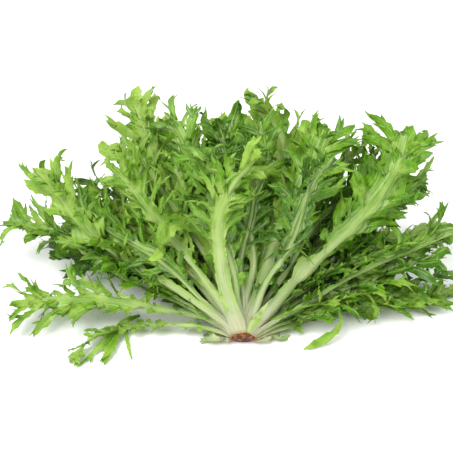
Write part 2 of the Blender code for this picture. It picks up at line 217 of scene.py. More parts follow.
# Loose strands in front of the leaves, the last two of them young leaflets above the cut. Places are
# mm right of the cut face, behind it and above the surface; widths are in mm, and the turn is how far
# a strand is tipped at its start and end.
STRAND_COLUMNS = 48
STRAND_TINT = 0.6
STRANDS = [
    {"places": [(22, 8, 20), (38, 8, 28), (52, 12, 31), (64, 14, 31), (74, 14, 27), (78, 8, 20), (74, 3, 12),
                (62, -2, 6), (48, -8, 2.5)],
     "widths": (2, 2.2, 3, 2.6, 3.4, 4, 3, 5, 6.5, 1), "turn": (10, 60), "forks": 1},
    {"places": [(-84, 24, 11), (-97, 19, 9), (-108, 3, 6), (-118, -12, 4), (-130, -28, 2)],
     "widths": (2, 2.5, 4, 3, 1), "turn": (0, 30), "forks": 3},
    {"places": [(-84, 24, 10), (-95, 17, 8), (-102, 4, 5), (-106, -12, 4), (-109, -25, 2)],
     "widths": (2, 2.5, 6, 8, 1), "turn": (0, -20), "forks": 3},
    {"places": [(-84, 24, 10), (-92, 19, 9), (-94, 10, 6), (-92, -4, 4), (-88, -19, 2)],
     "widths": (2, 1.6, 2.2, 2.6, 1), "turn": (0, 10), "forks": 1},
    {"places": [(-22, 26, 52), (-25, 29, 64), (-27, 34, 73), (-33, 39, 82), (-43, 40, 90), (-53, 36, 95),
                (-60, 28, 94), (-63, 22, 86), (-59, 18, 75), (-50, 16, 66)],
     "widths": (6, 8, 10, 11, 12, 11, 8, 1), "turn": (-20, 60), "forks": 2},
    {"places": [(10, 26, 52), (16, 28, 64), (25, 28, 72), (37, 26, 78), (48, 22, 75), (56, 17, 67)],
     "widths": (2, 3, 4.5, 5, 3, 1), "turn": (0, 40), "forks": 2},
    {"places": [(4, -4, 17), (6, -5, 23), (10, -5, 30), (14, -4, 37), (19, -2, 46)],
     "widths": (4, 3.5, 5.5, 4.5, 2.5, 1), "turn": (70, 125), "forks": 4},
    {"places": [(-9, -7, 39), (-12, -7, 44), (-15, -6, 50), (-19, -5, 55), (-24, -4, 61)],
     "widths": (1, 2, 3, 4, 2.5, 1), "turn": (110, 60), "forks": 3},
]
LEAFLETS = (6, 7)
LEAFLET_TINT = 0.9
LEAFLET_RIB = 0.6

# The core's grid: places round it, rings along it, rings of its cut face, and the rings that close
# its inner end, as shares of the last radius.
CORE_AROUND = 72
CORE_RINGS = 44
FACE_RINGS = 13
END_RINGS = np.array([0.7, 0.4, 0.1])

# Patterns of the leaf and the cut stem, in real sizes.
PATCH = 15 * MM
STREAK_WIDTH = 1.2 * MM
STREAK_LENGTH = 30 * MM
VEIN_MESH = 3 * MM
GRAIN = 2 * MM
BLOTCH = 3 * MM

# The stage: half the floor's side, the world's strength, and each light's place, side and power.
FLOOR_HALF = 4.0
WORLD_STRENGTH = 0.72
LIGHTS = {"key": ((-0.5, -0.6, 1.3), 0.9, 22.5), "fill": ((0.9, -0.4, 0.8), 0.9, 6.0)}
LIGHTS_AIM = (0.0, 0.0, 0.05)

# The photograph's view: how far the camera looks down, its lens, and how far one of the image's 453
# pixels reaches at the cut stem, which is 16.5 px right of the image's middle and 111.5 px below it.
CAMERA_HEIGHT = math.radians(36.0)
LENS = 85.0
SENSOR = 36.0
PIXEL = 0.8 * MM
IMAGE_SIDE = 453
STEM_RIGHT = 16.5
STEM_BELOW = 111.5


def linear(code):
    """A six-digit sRGB hex code as a linear colour with alpha 1."""
    shares = [int(code[place : place + 2], 16) / 255 for place in (0, 2, 4)]
    return tuple(c / 12.92 if c <= 0.04045 else ((c + 0.055) / 1.055) ** 2.4 for c in shares) + (1.0,)


class EndiveSizes(bpy.types.PropertyGroup):
    """Sizes of the fine leaves."""

    sheet: bpy.props.FloatProperty(
        name="Blade thickness", description="Thickness of the blade beside the rib",
        default=0.5 * MM, subtype="DISTANCE", unit="LENGTH")
    tooth: bpy.props.FloatProperty(
        name="Tooth", description="Height of the small teeth along a blade's edge",
        default=1.6 * MM, subtype="DISTANCE", unit="LENGTH")
    ruffle: bpy.props.FloatProperty(
        name="Ruffle", description="Height of the waves along a blade's edge",
        default=4.2 * MM, subtype="DISTANCE", unit="LENGTH")
    inner_leaves: bpy.props.IntProperty(
        name="Inner leaves", description="How many small leaves fill the head between the large ones",
        default=36, min=0, max=120)


class EndiveColours(bpy.types.PropertyGroup):
    """Colours of the leaf, the stem and the floor."""

    rib: bpy.props.FloatVectorProperty(
        name="Rib", description="Pale rib above the leaf's base",
        default=linear("CAD89C"), subtype="COLOR", size=4)
    stalk: bpy.props.FloatVectorProperty(
        name="Stalk", description="Whitish leaf base",
        default=linear("E8E9CE"), subtype="COLOR", size=4)
    light: bpy.props.FloatVectorProperty(
        name="Light blade", description="Yellow-green",
        default=linear("A4C84E"), subtype="COLOR", size=4)
    middle: bpy.props.FloatVectorProperty(
        name="Blade", description="Green of most blades",
        default=linear("66A000"), subtype="COLOR", size=4)
    dark: bpy.props.FloatVectorProperty(
        name="Dark blade", description="Deep green",
        default=linear("347200"), subtype="COLOR", size=4)
    base_tinge: bpy.props.FloatVectorProperty(
        name="Base tinge", description="Brownish tinge near the cut",
        default=linear("A58A62"), subtype="COLOR", size=4)
    cut: bpy.props.FloatVectorProperty(
        name="Cut face", description="Dried brown cut face",
        default=linear("84492A"), subtype="COLOR", size=4)
    # This colour is both the cut's dark hollows and the painted shade low on the cut face.
    cut_dark_and_shade: bpy.props.FloatVectorProperty(
        name="Cut, dark", description="Dark hollows of the cut",
        default=linear("45250F"), subtype="COLOR", size=4)
    cut_light: bpy.props.FloatVectorProperty(
        name="Cut, light", description="Paler fibres of the cut",
        default=linear("B88544"), subtype="COLOR", size=4)
    floor: bpy.props.FloatVectorProperty(
        name="Floor", description="Studio floor",
        default=linear("FFFFFF"), subtype="COLOR", size=4)


def sizes():
    """The sizes that the panel shows."""
    return bpy.context.scene.endive_sizes


def colours():
    """The colours that the panel shows."""
    return bpy.context.scene.endive_colours


def smooth(share):
    """0 below 0, 1 above 1, and an even S between them: 3x squared minus 2x cubed."""
    share = np.clip(share, 0.0, 1.0)
    return share * share * (3 - 2 * share)


def unit(vectors):
    """Vectors with length 1."""
    return vectors / np.linalg.norm(vectors, axis=-1, keepdims=True)


def square_to(along, vectors):
    """Unit vectors at right angles to a line: each without its part along the line."""
    return unit(vectors - (vectors * along).sum(1, keepdims=True) * along)


def turned_by(turn, side, face):
    """The sideways and face directions of a line, turned about it by an angle at each place."""
    return np.cos(turn) * side + np.sin(turn) * face, np.cos(turn) * face - np.sin(turn) * side


def read_along(share, shares, vectors):
    """Vectors that are known at some shares of a leaf's length, read at other shares."""
    return np.stack([np.interp(share, shares, vectors[:, axis]) for axis in range(3)], axis=-1)


def is_known(leaf):
    """Whether this is one of the leaves that the eye knows."""
    return leaf["number"] <= len(KNOWN_LEAVES)


def outward_of(leaf):
    """The direction from the axis to the side where the leaf grows."""
    return math.cos(leaf["around"]) * UPPER_SIDE + math.sin(leaf["around"]) * RIGHT_SIDE


# The solids' rules for where the leaves stand and how they bend.

def direction(polar, around):
    """Unit vectors at an angle from the axis and an angle round it, from straight up to the right."""
    polar = np.asarray(polar, float)[..., None]
    around = np.asarray(around, float)[..., None]
    outward = np.cos(around) * UPPER_SIDE + np.sin(around) * RIGHT_SIDE
    return np.cos(polar) * AXIS + np.sin(polar) * outward


def aim(azimuth, height):
    """The angle from the axis and the angle round it of a direction given over the surface."""
    azimuth, height = math.radians(azimuth), math.radians(height)
    flat = math.cos(height)
    towards = np.array([math.sin(azimuth) * flat, math.cos(azimuth) * flat, math.sin(height)])
    polar = math.acos(float(towards @ AXIS))
    around = math.atan2(float(towards @ RIGHT_SIDE), float(towards @ UPPER_SIDE))
    return polar, around


def row_places(polar, count, shift):
    """Angles round the axis at which a row's leaves clear the surface and don't lean to the front."""
    around = np.radians(np.arange(-180.0, 180.0, 0.5))
    towards = direction(np.full(len(around), polar), around)
    above = towards[:, 2] > math.sin(LOWEST_AIM)
    behind = (towards[:, 1] > FRONT_LIMIT) & (abs(np.arctan2(towards[:, 0], towards[:, 1])) < SIDE_LIMIT)
    free = around[above & behind]
    shares = (np.arange(count) + 0.5 + shift) / count
    return free[(shares * len(free)).astype(int) % len(free)]


def core_radius(along):
    """The core's radius at a distance along its axis."""
    distances, radii = zip(*CORE_PROFILE)
    return float(np.interp(along, distances, radii))


def leaf_rules():
    """One dictionary for each leaf that the solids may have: the known leaves first, then the rows."""
    rules = []
    for values in KNOWN_LEAVES:
        known = dict(zip(KNOWN_FIELDS, values))
        polar, around = aim(known["azimuth"], known["height"])
        rules.append(dict(known, polar=polar, around=around, known=True))
    for row, (degrees, count) in enumerate(ROWS):
        polar = math.radians(degrees)
        shift = 0.25 if row % 2 else -0.25
        for around in row_places(polar, count, shift):
            rules.append({"polar": polar, "around": around, "known": False})
    return rules


def leaf_values(number, rule, trial):
    """A leaf's own sizes, drawn from its number and the trial. A later trial may turn it further."""
    draw = np.random.default_rng([SEED, number, trial])
    spread = 1.0 + 0.1 * trial
    inner = 1.0 - rule["polar"] / math.radians(WIDEST_ROW)
    heart = max(0.0, inner - 0.4) / 0.6
    small = 0.35 if rule["known"] else 1.0
    lobes = LOBES_ON_A_SIDE[0 if heart == 0 else 1 if heart < 0.5 else 2]
    leaf = {
        "polar": rule["polar"] + math.radians(draw.normal(0, 1.5)) * spread * small,
        "around": rule["around"] + math.radians(draw.normal(0, 3.5)) * spread * small,
        "swing": math.radians(draw.normal(0, 5.0)),
        "bend": math.radians(draw.normal(0, 7.0)) * small,
        "open": draw.uniform(0.12, 0.32),
        "curl": math.radians(draw.uniform(-8, 16)),
        "droop": draw.uniform(0.0, 0.14) * small,
        "roll": math.radians(draw.normal(0, 11)) * small,
        "twist": math.radians(draw.normal(0, 24)),
        "cup": draw.uniform(0.05, 0.4),
        "reach": (OUTER_REACH + (HEART_REACH - OUTER_REACH) * heart) * draw.uniform(0.9, 1.03),
        "rib": (OUTER_RIB + (HEART_RIB - OUTER_RIB) * min(1.0, inner * 1.25)) * draw.uniform(0.85, 1.1),
        "width": BLADE_WIDTH * (1.0 - 0.42 * heart) * draw.uniform(0.75, 1.1),
        "cut": draw.uniform(0.35, 0.85),
        "starts": draw.uniform(0.26, 0.36),
        "steps": draw.uniform(0.6, 1.4, 4 * lobes),
        "lobes": draw.uniform(0.5, 1.2, (2, lobes)),
        "lifts": draw.normal(0, 0.26, (2, lobes)),
    }
    if rule["known"]:
        leaf["reach"] = rule["reach"] * MM
        leaf["rib"] = rule["rib"] * MM
        leaf["width"] = BLADE_WIDTH * rule["width"]
        leaf["cut"] = rule["cut"]
        for turn in ("swing", "bend", "curl"):
            leaf[turn] = math.radians(rule[turn])
    rows_in = (WIDEST_ROW - math.degrees(leaf["polar"])) / ROW_ANGLE
    leaf["along"] = FIRST_ROW + ROW_STEP * max(0.0, rows_in)
    if rule.get("base"):
        leaf["along"] = rule["base"] * MM
    leaf["depth"] = RIB_DEPTH * (leaf["rib"] / OUTER_RIB) ** 0.6
    leaf["gap"] = GAP
    leaf["number"] = number
    return leaf


def torn_base_values(azimuth, reach):
    """The values of a torn leaf's base: a short broad rib with no lobes, close to the surface."""
    polar, around = aim(azimuth, TORN_BASE_FALL)
    return {
        "polar": polar, "around": around, "swing": 0.0, "bend": 0.0, "open": 0.0, "curl": 0.0,
        "droop": 0.0, "roll": 0.0, "twist": 0.0, "cup": 0.12, "reach": reach, "rib": TORN_BASE_RIB,
        "width": 0.3 * TORN_BASE_RIB, "cut": 0.2, "starts": 0.3, "steps": np.ones(4),
        "lobes": np.ones((2, 1)), "lifts": np.zeros((2, 1)), "along": 1.2 * MM, "depth": RIB_DEPTH,
        "gap": TORN_BASE_GAP, "number": FIRST_TORN + int(azimuth > 0),
    }


def settle(points):
    """Tall places sag by the square of their height, and low ones are eased above the surface."""
    settled = points.copy()
    share = np.clip(points[:, 2], 0.0, None) / SAG_HEIGHT
    height = points[:, 2] - SAG * share**2
    settled[:, 2] = 0.5 * (height + np.sqrt(height**2 + 4 * FLOOR_SOFTNESS**2))
    return settled


def centreline(leaf):
    """The leaf's middle line and the leaf's sideways and face directions along it.

    The line starts at the core, a little nearer the axis than it ends, so that it opens outwards,
    and its swing first bends it to one side and then back.
    """
    share = np.linspace(0.0, 1.0, PATH_STEPS)
    polar = leaf["polar"] * (1.0 - leaf["open"] * (1.0 - share) ** 2) + leaf["curl"] * share**3
    around = leaf["around"] + leaf["swing"] * np.sin(2 * math.pi * share) * share + leaf["bend"] * share**2
    towards = direction(polar, around)
    step = leaf["reach"] / (PATH_STEPS - 1)
    travelled = np.vstack([np.zeros(3), np.cumsum((towards[1:] + towards[:-1]) / 2 * step, axis=0)])
    outward = outward_of(leaf)
    radius = max(core_radius(leaf["along"] + offset * MM) for offset in (-2, 0, 2))
    clear = radius + leaf["gap"] + leaf["depth"] * HALF_DEPTH * math.cos(polar[0])
    line = CUT_CENTRE + AXIS * leaf["along"] + outward * clear + travelled
    line[:, 2] -= leaf["droop"] * leaf["reach"] * share**2.5 * np.clip(towards[:, 1], 0.0, 1.0)
    line = settle(line)

    along = unit(np.gradient(line, axis=0))
    inner_face = direction(polar - math.pi / 2, around)
    low = np.clip((HIGH_TIP - line[-1, 2]) / (HIGH_TIP - LOW_TIP), 0.0, 1.0)
    face = square_to(along, (1.0 - FLAT_SHARE * low) * inner_face + low * np.array([0.0, 0.0, 1.0]))
    turn = (leaf["roll"] + leaf["twist"] * (share - TWIST_START)) * np.clip(share / TURN_FULL, 0.0, 1.0)
    return share, line, along, *turned_by(turn[:, None], np.cross(along, face), face)


# The fine leaf: its line, its rib and web, its lobes and their forks.

def with_foot(leaf, path):
    """The leaf's path with its foot before it, which runs down the core's side to the cut face.

    A foot's place at a distance back from the leaf's start is the core's radius, and a little more,
    out from the axis. Its shares are below 0. The corner between foot and leaf is rounded by taking
    the mean of each place and its neighbours a few times.
    """
    shares, line, along, side, face = path
    uneven = np.random.default_rng([SEED, leaf["number"], FOR_FOOT]).uniform(-1.0, 0.5) * MM
    length = min(leaf["along"] - 0.8 * MM + uneven, LONGEST_FOOT)
    back = np.linspace(length, 0.0, FOOT_STEPS, endpoint=False)
    outward = outward_of(leaf)
    radius = np.array([core_radius(place) for place in leaf["along"] - back])
    raised = float((line[0] - CUT_CENTRE) @ outward) - core_radius(leaf["along"])
    radius += 0.2 * MM + (raised - 0.2 * MM) * (1.0 - back / length) ** 2
    foot = CUT_CENTRE + (leaf["along"] - back)[:, None] * AXIS + radius[:, None] * outward
    foot[:, 2] = np.maximum(foot[:, 2], 0.8 * MM)
    line = np.vstack([foot, line])
    joint = np.arange(1, FOOT_STEPS + 4)
    for _ in range(6):
        line[joint] = (line[joint - 1] + 2 * line[joint] + line[joint + 1]) / 4
    shares = np.concatenate([-back / leaf["reach"], shares])
    turned = smooth(back / (6 * MM))[:, None]
    face = np.vstack([(1.0 - turned) * face[0] - turned * outward, face])
    along = unit(np.gradient(line, axis=0))
    face = square_to(along, face)
    return shares, line, along, np.cross(along, face), face


def swayed(leaf, path):
    """The path with slow waves to the side: two sines along the leaf, each a few mm high.

    They grow from nothing at the leaf's foot, and are half as high on the leaves that the eye knows.
    """
    shares, line, _, side, face = path
    draw = np.random.default_rng([SEED, leaf["number"], FOR_SWAY])
    size = draw.uniform(0.5, 1.0, 2) * SWAY * (0.5 if is_known(leaf) else 1.0)
    turns = draw.uniform(0.7, 1.6, 2)
    begin = draw.uniform(0, 2 * math.pi, 2)
    grown = smooth((shares - 0.02) / 0.25)
    aside, raised = (
        size[way] * grown * np.sin(2 * math.pi * turns[way] * shares + begin[way]) for way in (0, 1))
    line = line + aside[:, None] * side + 0.5 * raised[:, None] * face
    along = unit(np.gradient(line, axis=0))
    face = square_to(along, face)
    return shares, line, along, np.cross(along, face), face


def rib_half_width(leaf, share):
    """Half the rib's width: widest low down, a fifth of that at the leaf's end, less at the cut."""
    foot = np.clip(-share * leaf["reach"] / LONGEST_FOOT, 0.0, 1.0)
    broad = BROAD_RIBS.get(leaf["number"], KNOWN_BREADTH if is_known(leaf) else OTHER_BREADTH)
    return leaf["rib"] / 2 * broad * (1.0 - 0.8 * np.clip(share, 0.0, 1.0) ** 0.75) * (1.0 - 0.3 * foot)


def blade_columns(leaf):
    """The shares of the solid's blade columns, and the blade's width share at each of them."""
    travelled = np.concatenate([[0.0], np.cumsum(leaf["steps"])]) / leaf["steps"].sum()
    blade = leaf["starts"] + (BLADE_END - leaf["starts"]) * travelled
    envelope = np.sin(math.pi * (0.13 + 0.70 * travelled**0.8)) ** 0.8
    return blade, envelope


def above_bare_stalk(leaf, share):
    """0 along a leaf's bare stalk, and 1 above it, where its blade is full. Most leaves have none."""
    return smooth((share - BARE_STALKS.get(leaf["number"], -1.0)) / 0.12 + 0.5)


def lobes_of(leaf, side, draw):
    """One side's lobes along the leaf: large ones where the solid's are, small ones between.

    A few short lobes stand along the stalk below them. Centres are shares of the leaf's length, and
    root widths and heights are lengths. On a bare stalk every lobe is a fifth as high.
    """
    blade, envelope = blade_columns(leaf)
    large = np.arange(1 + 2 * side, len(blade), 4)
    between = np.arange(3 - 2 * side, len(blade), 4)
    height = leaf["width"] * envelope
    large_heights = height[large] * leaf["lobes"][side][: len(large)]
    small_heights = height[between] * draw.uniform(0.4, 0.85, len(between))
    stalk = int(draw.integers(2, 5))
    stalk_centres = np.sort(draw.uniform(0.12, leaf["starts"] + 0.02, stalk))
    stalk_heights = draw.uniform(2.5, 9.0, stalk) * MM * leaf["width"] / BLADE_WIDTH

    centres = np.concatenate([blade[large], blade[between], stalk_centres])
    heights = np.concatenate([large_heights, small_heights, stalk_heights])
    lifts = np.concatenate([leaf["lifts"][side][: len(large)], draw.normal(0, 0.35, len(between) + stalk)])
    forks = np.concatenate([np.full(len(large), 3), np.full(len(between), 2), np.zeros(stalk)])
    order = np.argsort(centres)
    count = len(centres)
    spacing = (blade[-1] - blade[0]) * leaf["reach"] / len(blade)
    upward = np.clip((centres[order] - leaf["starts"]) / (1 - leaf["starts"]), 0, 1)
    return {
        "centre": centres[order],
        "root": spacing * 1.2 * draw.uniform(0.75, 1.3, count),
        "height": heights[order] * (0.2 + 0.8 * above_bare_stalk(leaf, centres[order])),
        "lift": lifts[order],
        "forks": forks[order].astype(int),
        "sweep": 1.05 + 0.6 * upward**1.5 + draw.normal(0, 0.2, count),
    }


def web_share(leaf):
    """The share of a lobe's height that is web: more on a leaf that is less deeply cut."""
    return WEB_SHARE + WHOLE_WEB_SHARE * (1.0 - leaf["cut"]) ** 2


def spikes(share, centres, half_roots, heights, power):
    """The highest of many points along a line, each falling to nothing at its own half width."""
    away = abs(share[:, None] - centres) / half_roots
    return (heights * np.clip(1.0 - away**power, 0.0, None)).max(axis=1)


def held_over_lobes(share, lobes, key, reach):
    """A lobe's value all across it, turning to the next lobe's only in the bay between them."""
    margin = 0.55 * lobes["root"] / reach
    places = np.stack([lobes["centre"] - margin, lobes["centre"] + margin], axis=1).ravel()
    places = np.maximum.accumulate(places)
    return np.interp(share, places, np.repeat(lobes[key], 2))


def web_edge(leaf, lobes, share, draw):
    """The blade's half width beside the lobes' free ends: a wing, the lobes' roots and small teeth.

    The wider of wing and roots counts, with the rib's half width, the teeth and a little more added.
    A wing is broad on a leaf that isn't deeply cut, and all of it tapers off at the leaf's end.
    """
    blade, envelope = blade_columns(leaf)
    wing = leaf["width"] * (1.0 - leaf["cut"]) * 0.5 * np.interp(share, blade, envelope)
    wing *= smooth((share - leaf["starts"] * 0.8) / (leaf["starts"] * 0.8))
    wing *= smooth((LAST_SHARE - share) / 0.08) * above_bare_stalk(leaf, share)
    root_heights = web_share(leaf) * lobes["height"]
    roots = spikes(share, lobes["centre"], lobes["root"] / leaf["reach"], root_heights, 1.6)
    spacing = TOOTH_SPACING / leaf["reach"]
    teeth = np.arange(0.08, BLADE_END, spacing)
    teeth = teeth + draw.uniform(-0.4, 0.4, len(teeth)) * spacing
    heights = sizes().tooth * draw.uniform(0.2, 1.0, len(teeth))
    small = spikes(share, teeth, np.full(len(teeth), 0.5 * spacing), heights, 1.0)
    small *= smooth((share - 0.1) / 0.3)
    half = rib_half_width(leaf, share) + np.maximum(wing, roots) + small + 0.35 * MM
    return half * (smooth((LAST_SHARE - share) / 0.05) * 0.97 + 0.03)


def place_on_leaf(leaf, path, share, across, lift):
    """Points on the leaf at a share of its length, a distance to the side and a lift from the blade."""
    beyond = np.clip(share - 1.0, 0.0, None)[..., None] * leaf["reach"] * path[2][-1]
    line, side, face = (read_along(share, path[0], path[part]) for part in (1, 3, 4))
    return line + beyond + across[..., None] * side + lift[..., None] * face


def web_place(leaf, sign, share, away, sweep, lift):
    """A place on the blade: away from the rib's middle it moves forward by sweep x away, and up by
    (cup + lift) x away, both growing from nothing at the leaf's foot."""
    risen = smooth(share / leaf["starts"])
    forward = share + sweep * away * risen / leaf["reach"]
    return forward, sign * away, (leaf["cup"] + lift) * away * risen


def half_web(leaf, path, share, side, lobes, draw):
    """The upper and lower points of one side of the rib and its blade, columns by places across.

    The blade's height has three waves along the leaf, which grow with the square of the share of the
    way to its edge. The rib is a half ellipse across, a little above the blade and mostly below it.
    """
    half = web_edge(leaf, lobes, share, draw)
    rib = np.minimum(rib_half_width(leaf, share), 0.9 * half)
    blade = half - rib
    away = np.concatenate([rib[:, None] * RIB_PLACES, rib[:, None] + blade[:, None] * BLADE_PLACES], axis=1)
    sweep, lift = (held_over_lobes(share, lobes, key, leaf["reach"])[:, None] for key in ("sweep", "lift"))
    forward, across, raised = web_place(leaf, 1.0 if side else -1.0, share[:, None], away, sweep, lift)

    edge_share = np.clip((away - rib[:, None]) / np.maximum(blade, 1 * MM)[:, None], 0, 1)
    phases = draw.uniform(0, 2 * math.pi, 3)
    waves = sum(
        np.sin(share[:, None] * leaf["reach"] * 2 * math.pi / length + phase)
        for length, phase in zip(RUFFLE_LENGTHS, phases))
    raised = raised + sizes().ruffle * edge_share**2 * waves * np.clip(blade / (14 * MM), 0.1, 0.8)[:, None]
    foot = np.clip(-share * leaf["reach"] / LONGEST_FOOT, 0.0, 1.0)
    depth = (leaf["depth"] * (1.0 - 0.72 * np.clip(share, 0, 1)) * (1.0 - 0.5 * foot))[:, None]
    round_rib = np.sqrt(np.clip(1.0 - (away / np.maximum(rib, 1e-6)[:, None]) ** 2, 0.0, 1.0))
    upper = raised + 0.12 * depth * round_rib
    thick = sizes().sheet * (1.0 - edge_share**3) + 0.88 * depth * round_rib
    top = place_on_leaf(leaf, path, forward, across, upper)
    below = place_on_leaf(leaf, path, forward, across, upper - thick)
    marks = {
        "rib": smooth(1.25 - away / np.maximum(rib, 1e-6)[:, None]),
        "along": np.broadcast_to(share[:, None], away.shape),
        "vein": 1.0 - smooth((away - rib[:, None]) / PALE_ZONE),
        "across": across / MM,
        "run": np.broadcast_to(share[:, None] * leaf["reach"] / MM, away.shape),
    }
    return top, below, marks


def ring_of(left, right, left_below, right_below):
    """Places of both sides joined to one ring: left edge, over the top to the right edge, and back."""
    return np.concatenate([left[:, ::-1], right[:, 1:], right_below[:, -2::-1], left_below[:, 1:-1]], axis=1)


def curved_frames(base, length, bend, lift, curl, twist, columns):
    """Curved paths, one for each row of the base's arrays, with their directions at each column.

    At a share v of its path a strip points bend x v to the side of its base's direction, and
    lift x v + curl x v x v out of its plane; its path is the sum of those directions. Its sideways
    and upward directions are turned by twist x v about the path.
    """
    start, ahead, beside, face = base
    share = np.linspace(0.0, 1.0, columns)
    aside = (bend[:, None] * share)[..., None]
    rise = (lift[:, None] * share + curl[:, None] * share**2)[..., None]
    flat = np.cos(aside) * ahead[:, None] + np.sin(aside) * beside[:, None]
    onward = np.cos(rise) * flat + np.sin(rise) * face[:, None]
    normal = np.cos(rise) * face[:, None] - np.sin(rise) * flat
    side = np.cross(onward, normal)
    turn = (twist[:, None] * share)[..., None]
    step = (length / (columns - 1))[:, None, None]
    travelled = np.cumsum((onward[:, 1:] + onward[:, :-1]) / 2 * step, axis=1)
    middle = start[:, None] + np.concatenate([np.zeros((len(length), 1, 3)), travelled], axis=1)
    return middle, onward, *turned_by(turn, side, normal)


def strips(frames, left, right, ring, along, length):
    """Closed strips carried along paths: their half widths on both sides, with edges raised a little."""
    middle, _, side, normal = frames
    share = np.linspace(0.0, 1.0, middle.shape[1])
    across, below = ring[:, 0], ring[:, 1]
    width = np.where(across < 0, left[..., None], right[..., None]) * across
    raised = 0.22 * abs(width) + sizes().sheet * (1.0 - 0.5 * share)[:, None] * below
    grid = middle[:, :, None] + width[..., None] * side[:, :, None] + raised[..., None] * normal[:, :, None]
    marks = {
        "rib": np.zeros(grid.shape[:3]),
        "along": np.broadcast_to(along[:, None, None], grid.shape[:3]),
        "vein": np.broadcast_to((1.0 - abs(across)) * (0.9 - 0.6 * share)[:, None], grid.shape[:3]),
        "across": width / MM,
        "run": np.broadcast_to((share * length[:, None] / MM)[..., None], grid.shape[:3]),
    }
    return grid, marks, abs(across) > 0.99


def lobe_width(root, finger, teeth, share, draw):
    """A lobe's half width along it: its root, a narrow finger with forward teeth, and a point.

    The teeth are a saw wave, raised to a power so that each leans forward.
    """
    count = len(root)
    neck = smooth(share / 0.3)
    swell = 1.0 + 0.35 * np.sin(math.pi * np.clip(share, 0, 1)) ** 2
    point = 1.0 - smooth((share - 0.74) / 0.26) * 0.9
    saw = np.mod(share * draw.uniform(1.8, 3.4, (count, 1)) + draw.uniform(0, 1, (count, 1)), 1.0)
    bite = teeth[:, None] * saw**1.6 * smooth((share - 0.12) / 0.2) * (1.0 - smooth((share - 0.8) / 0.2))
    return (root[:, None] * (1.0 - neck) + finger[:, None] * neck * swell) * point + bite


def leaf_lobes(leaf, path, side, lobes, draw):
    """The free ends of one side's lobes as strips that leave the web along its own slope."""
    sign = 1.0 if side else -1.0
    count = len(lobes["centre"])
    rib = rib_half_width(leaf, lobes["centre"])
    away = rib + 0.5 * web_share(leaf) * lobes["height"]
    before, start = (
        place_on_leaf(
            leaf, path, *web_place(leaf, sign, lobes["centre"], place, lobes["sweep"], lobes["lift"]))
        for place in (away - 1 * MM, away))
    ahead = unit(start - before)
    face = square_to(ahead, read_along(lobes["centre"], path[0], path[4]))
    base = (start, ahead, np.cross(ahead, face), face)
    length = (lobes["height"] + rib - away) * np.sqrt(1 + lobes["sweep"] ** 2)
    length = np.minimum(length * draw.uniform(0.9, 1.2, count), LONGEST_LOBE)
    finger = lobes["root"] * draw.uniform(0.25, 0.45, count) * (1.35 - 0.5 * leaf["cut"])
    finger = np.minimum(finger, 0.3 * length)
    share = np.linspace(0.0, 1.0, LOBE_COLUMNS)
    teeth = np.minimum(draw.uniform(0.8, 2.6, (2, count)) * MM, 0.16 * length)
    left, right = (lobe_width(0.5 * lobes["root"], finger, teeth[edge], share, draw) for edge in (0, 1))
    lively = np.clip(length / (20 * MM), 0.3, 1.2)
    frames = curved_frames(
        base, length, sign * draw.normal(0.1, 0.5, count), draw.normal(0.0, 0.55, count) * lively,
        draw.normal(-0.1, 1.15, count) * lively, draw.normal(0, 1.1, count) * lively, LOBE_COLUMNS)
    return strips(frames, left, right, LOBE_RING, lobes["centre"], length), frames, length, finger


def leaf_forks(lobes, frames, length, finger, draw):
    """Narrow pointed forks that leave the lobes to one side or the other, as the draw has it.

    A fork starts at a place on its lobe's own line, points aside from it by an angle, and bends back.
    Forks nearer the lobe's end are shorter.
    """
    owner = np.repeat(np.arange(len(length)), lobes["forks"])
    count = len(owner)
    place = draw.uniform(0.25, 0.85, count)
    column = (place * (LOBE_COLUMNS - 1)).astype(int)
    middle, onward, side, normal = (values[owner, column] for values in frames)
    sign = np.where(draw.uniform(size=count) < 0.5, -1.0, 1.0)[:, None]
    angle = draw.uniform(0.35, 0.85, count)[:, None]
    ahead = np.cos(angle) * onward + np.sin(angle) * sign * side
    base = (middle, ahead, np.cross(ahead, normal), normal)
    reach = length[owner] * draw.uniform(0.32, 0.66, count) * (1.15 - 0.5 * place)
    share = np.linspace(0.0, 1.0, FORK_COLUMNS)
    width = np.maximum(finger[owner] * draw.uniform(0.55, 0.95, count), 0.08 * reach)
    half = width[:, None] * (1.0 - 0.9 * share**2.4) * (0.75 + 0.25 * np.sin(math.pi * share))
    frames = curved_frames(
        base, reach, -sign[:, 0] * draw.normal(0.3, 0.4, count), draw.normal(0, 0.5, count),
        draw.normal(0, 0.9, count), draw.normal(0, 0.8, count), FORK_COLUMNS)
    return strips(frames, half, half, FORK_RING, lobes["centre"][owner], reach)


def tip_lobes(leaf, draw, path):
    """The leaf's own end: lobes that fan out from its last part."""
    count = TIP_LOBES
    place = np.linspace(0.84, 0.97, count)
    line, along, side, face = (read_along(place, path[0], values) for values in path[1:])
    spread = np.where(np.arange(count) % 2, 1.0, -1.0) * np.linspace(0.75, 0.1, count)
    ahead = np.cos(spread)[:, None] * along + np.sin(spread)[:, None] * side
    base = (line, ahead, np.cross(ahead, face), face)
    length = leaf["width"] * draw.uniform(0.3, 0.55, count)
    finger = length * draw.uniform(0.14, 0.22, count)
    share = np.linspace(0.0, 1.0, LOBE_COLUMNS)
    teeth = length * draw.uniform(0.04, 0.12, (2, count))
    left, right = (lobe_width(finger, finger, teeth[edge], share, draw) for edge in (0, 1))
    lobes = {"centre": place, "forks": np.full(count, 2)}
    frames = curved_frames(
        base, length, draw.normal(0, 0.4, count), draw.normal(0, 0.4, count), draw.normal(-0.2, 0.9, count),
        draw.normal(0, 0.7, count), LOBE_COLUMNS)
    forks = leaf_forks(lobes, frames, length, finger, draw)
    return [strips(frames, left, right, LOBE_RING, place, length), forks]


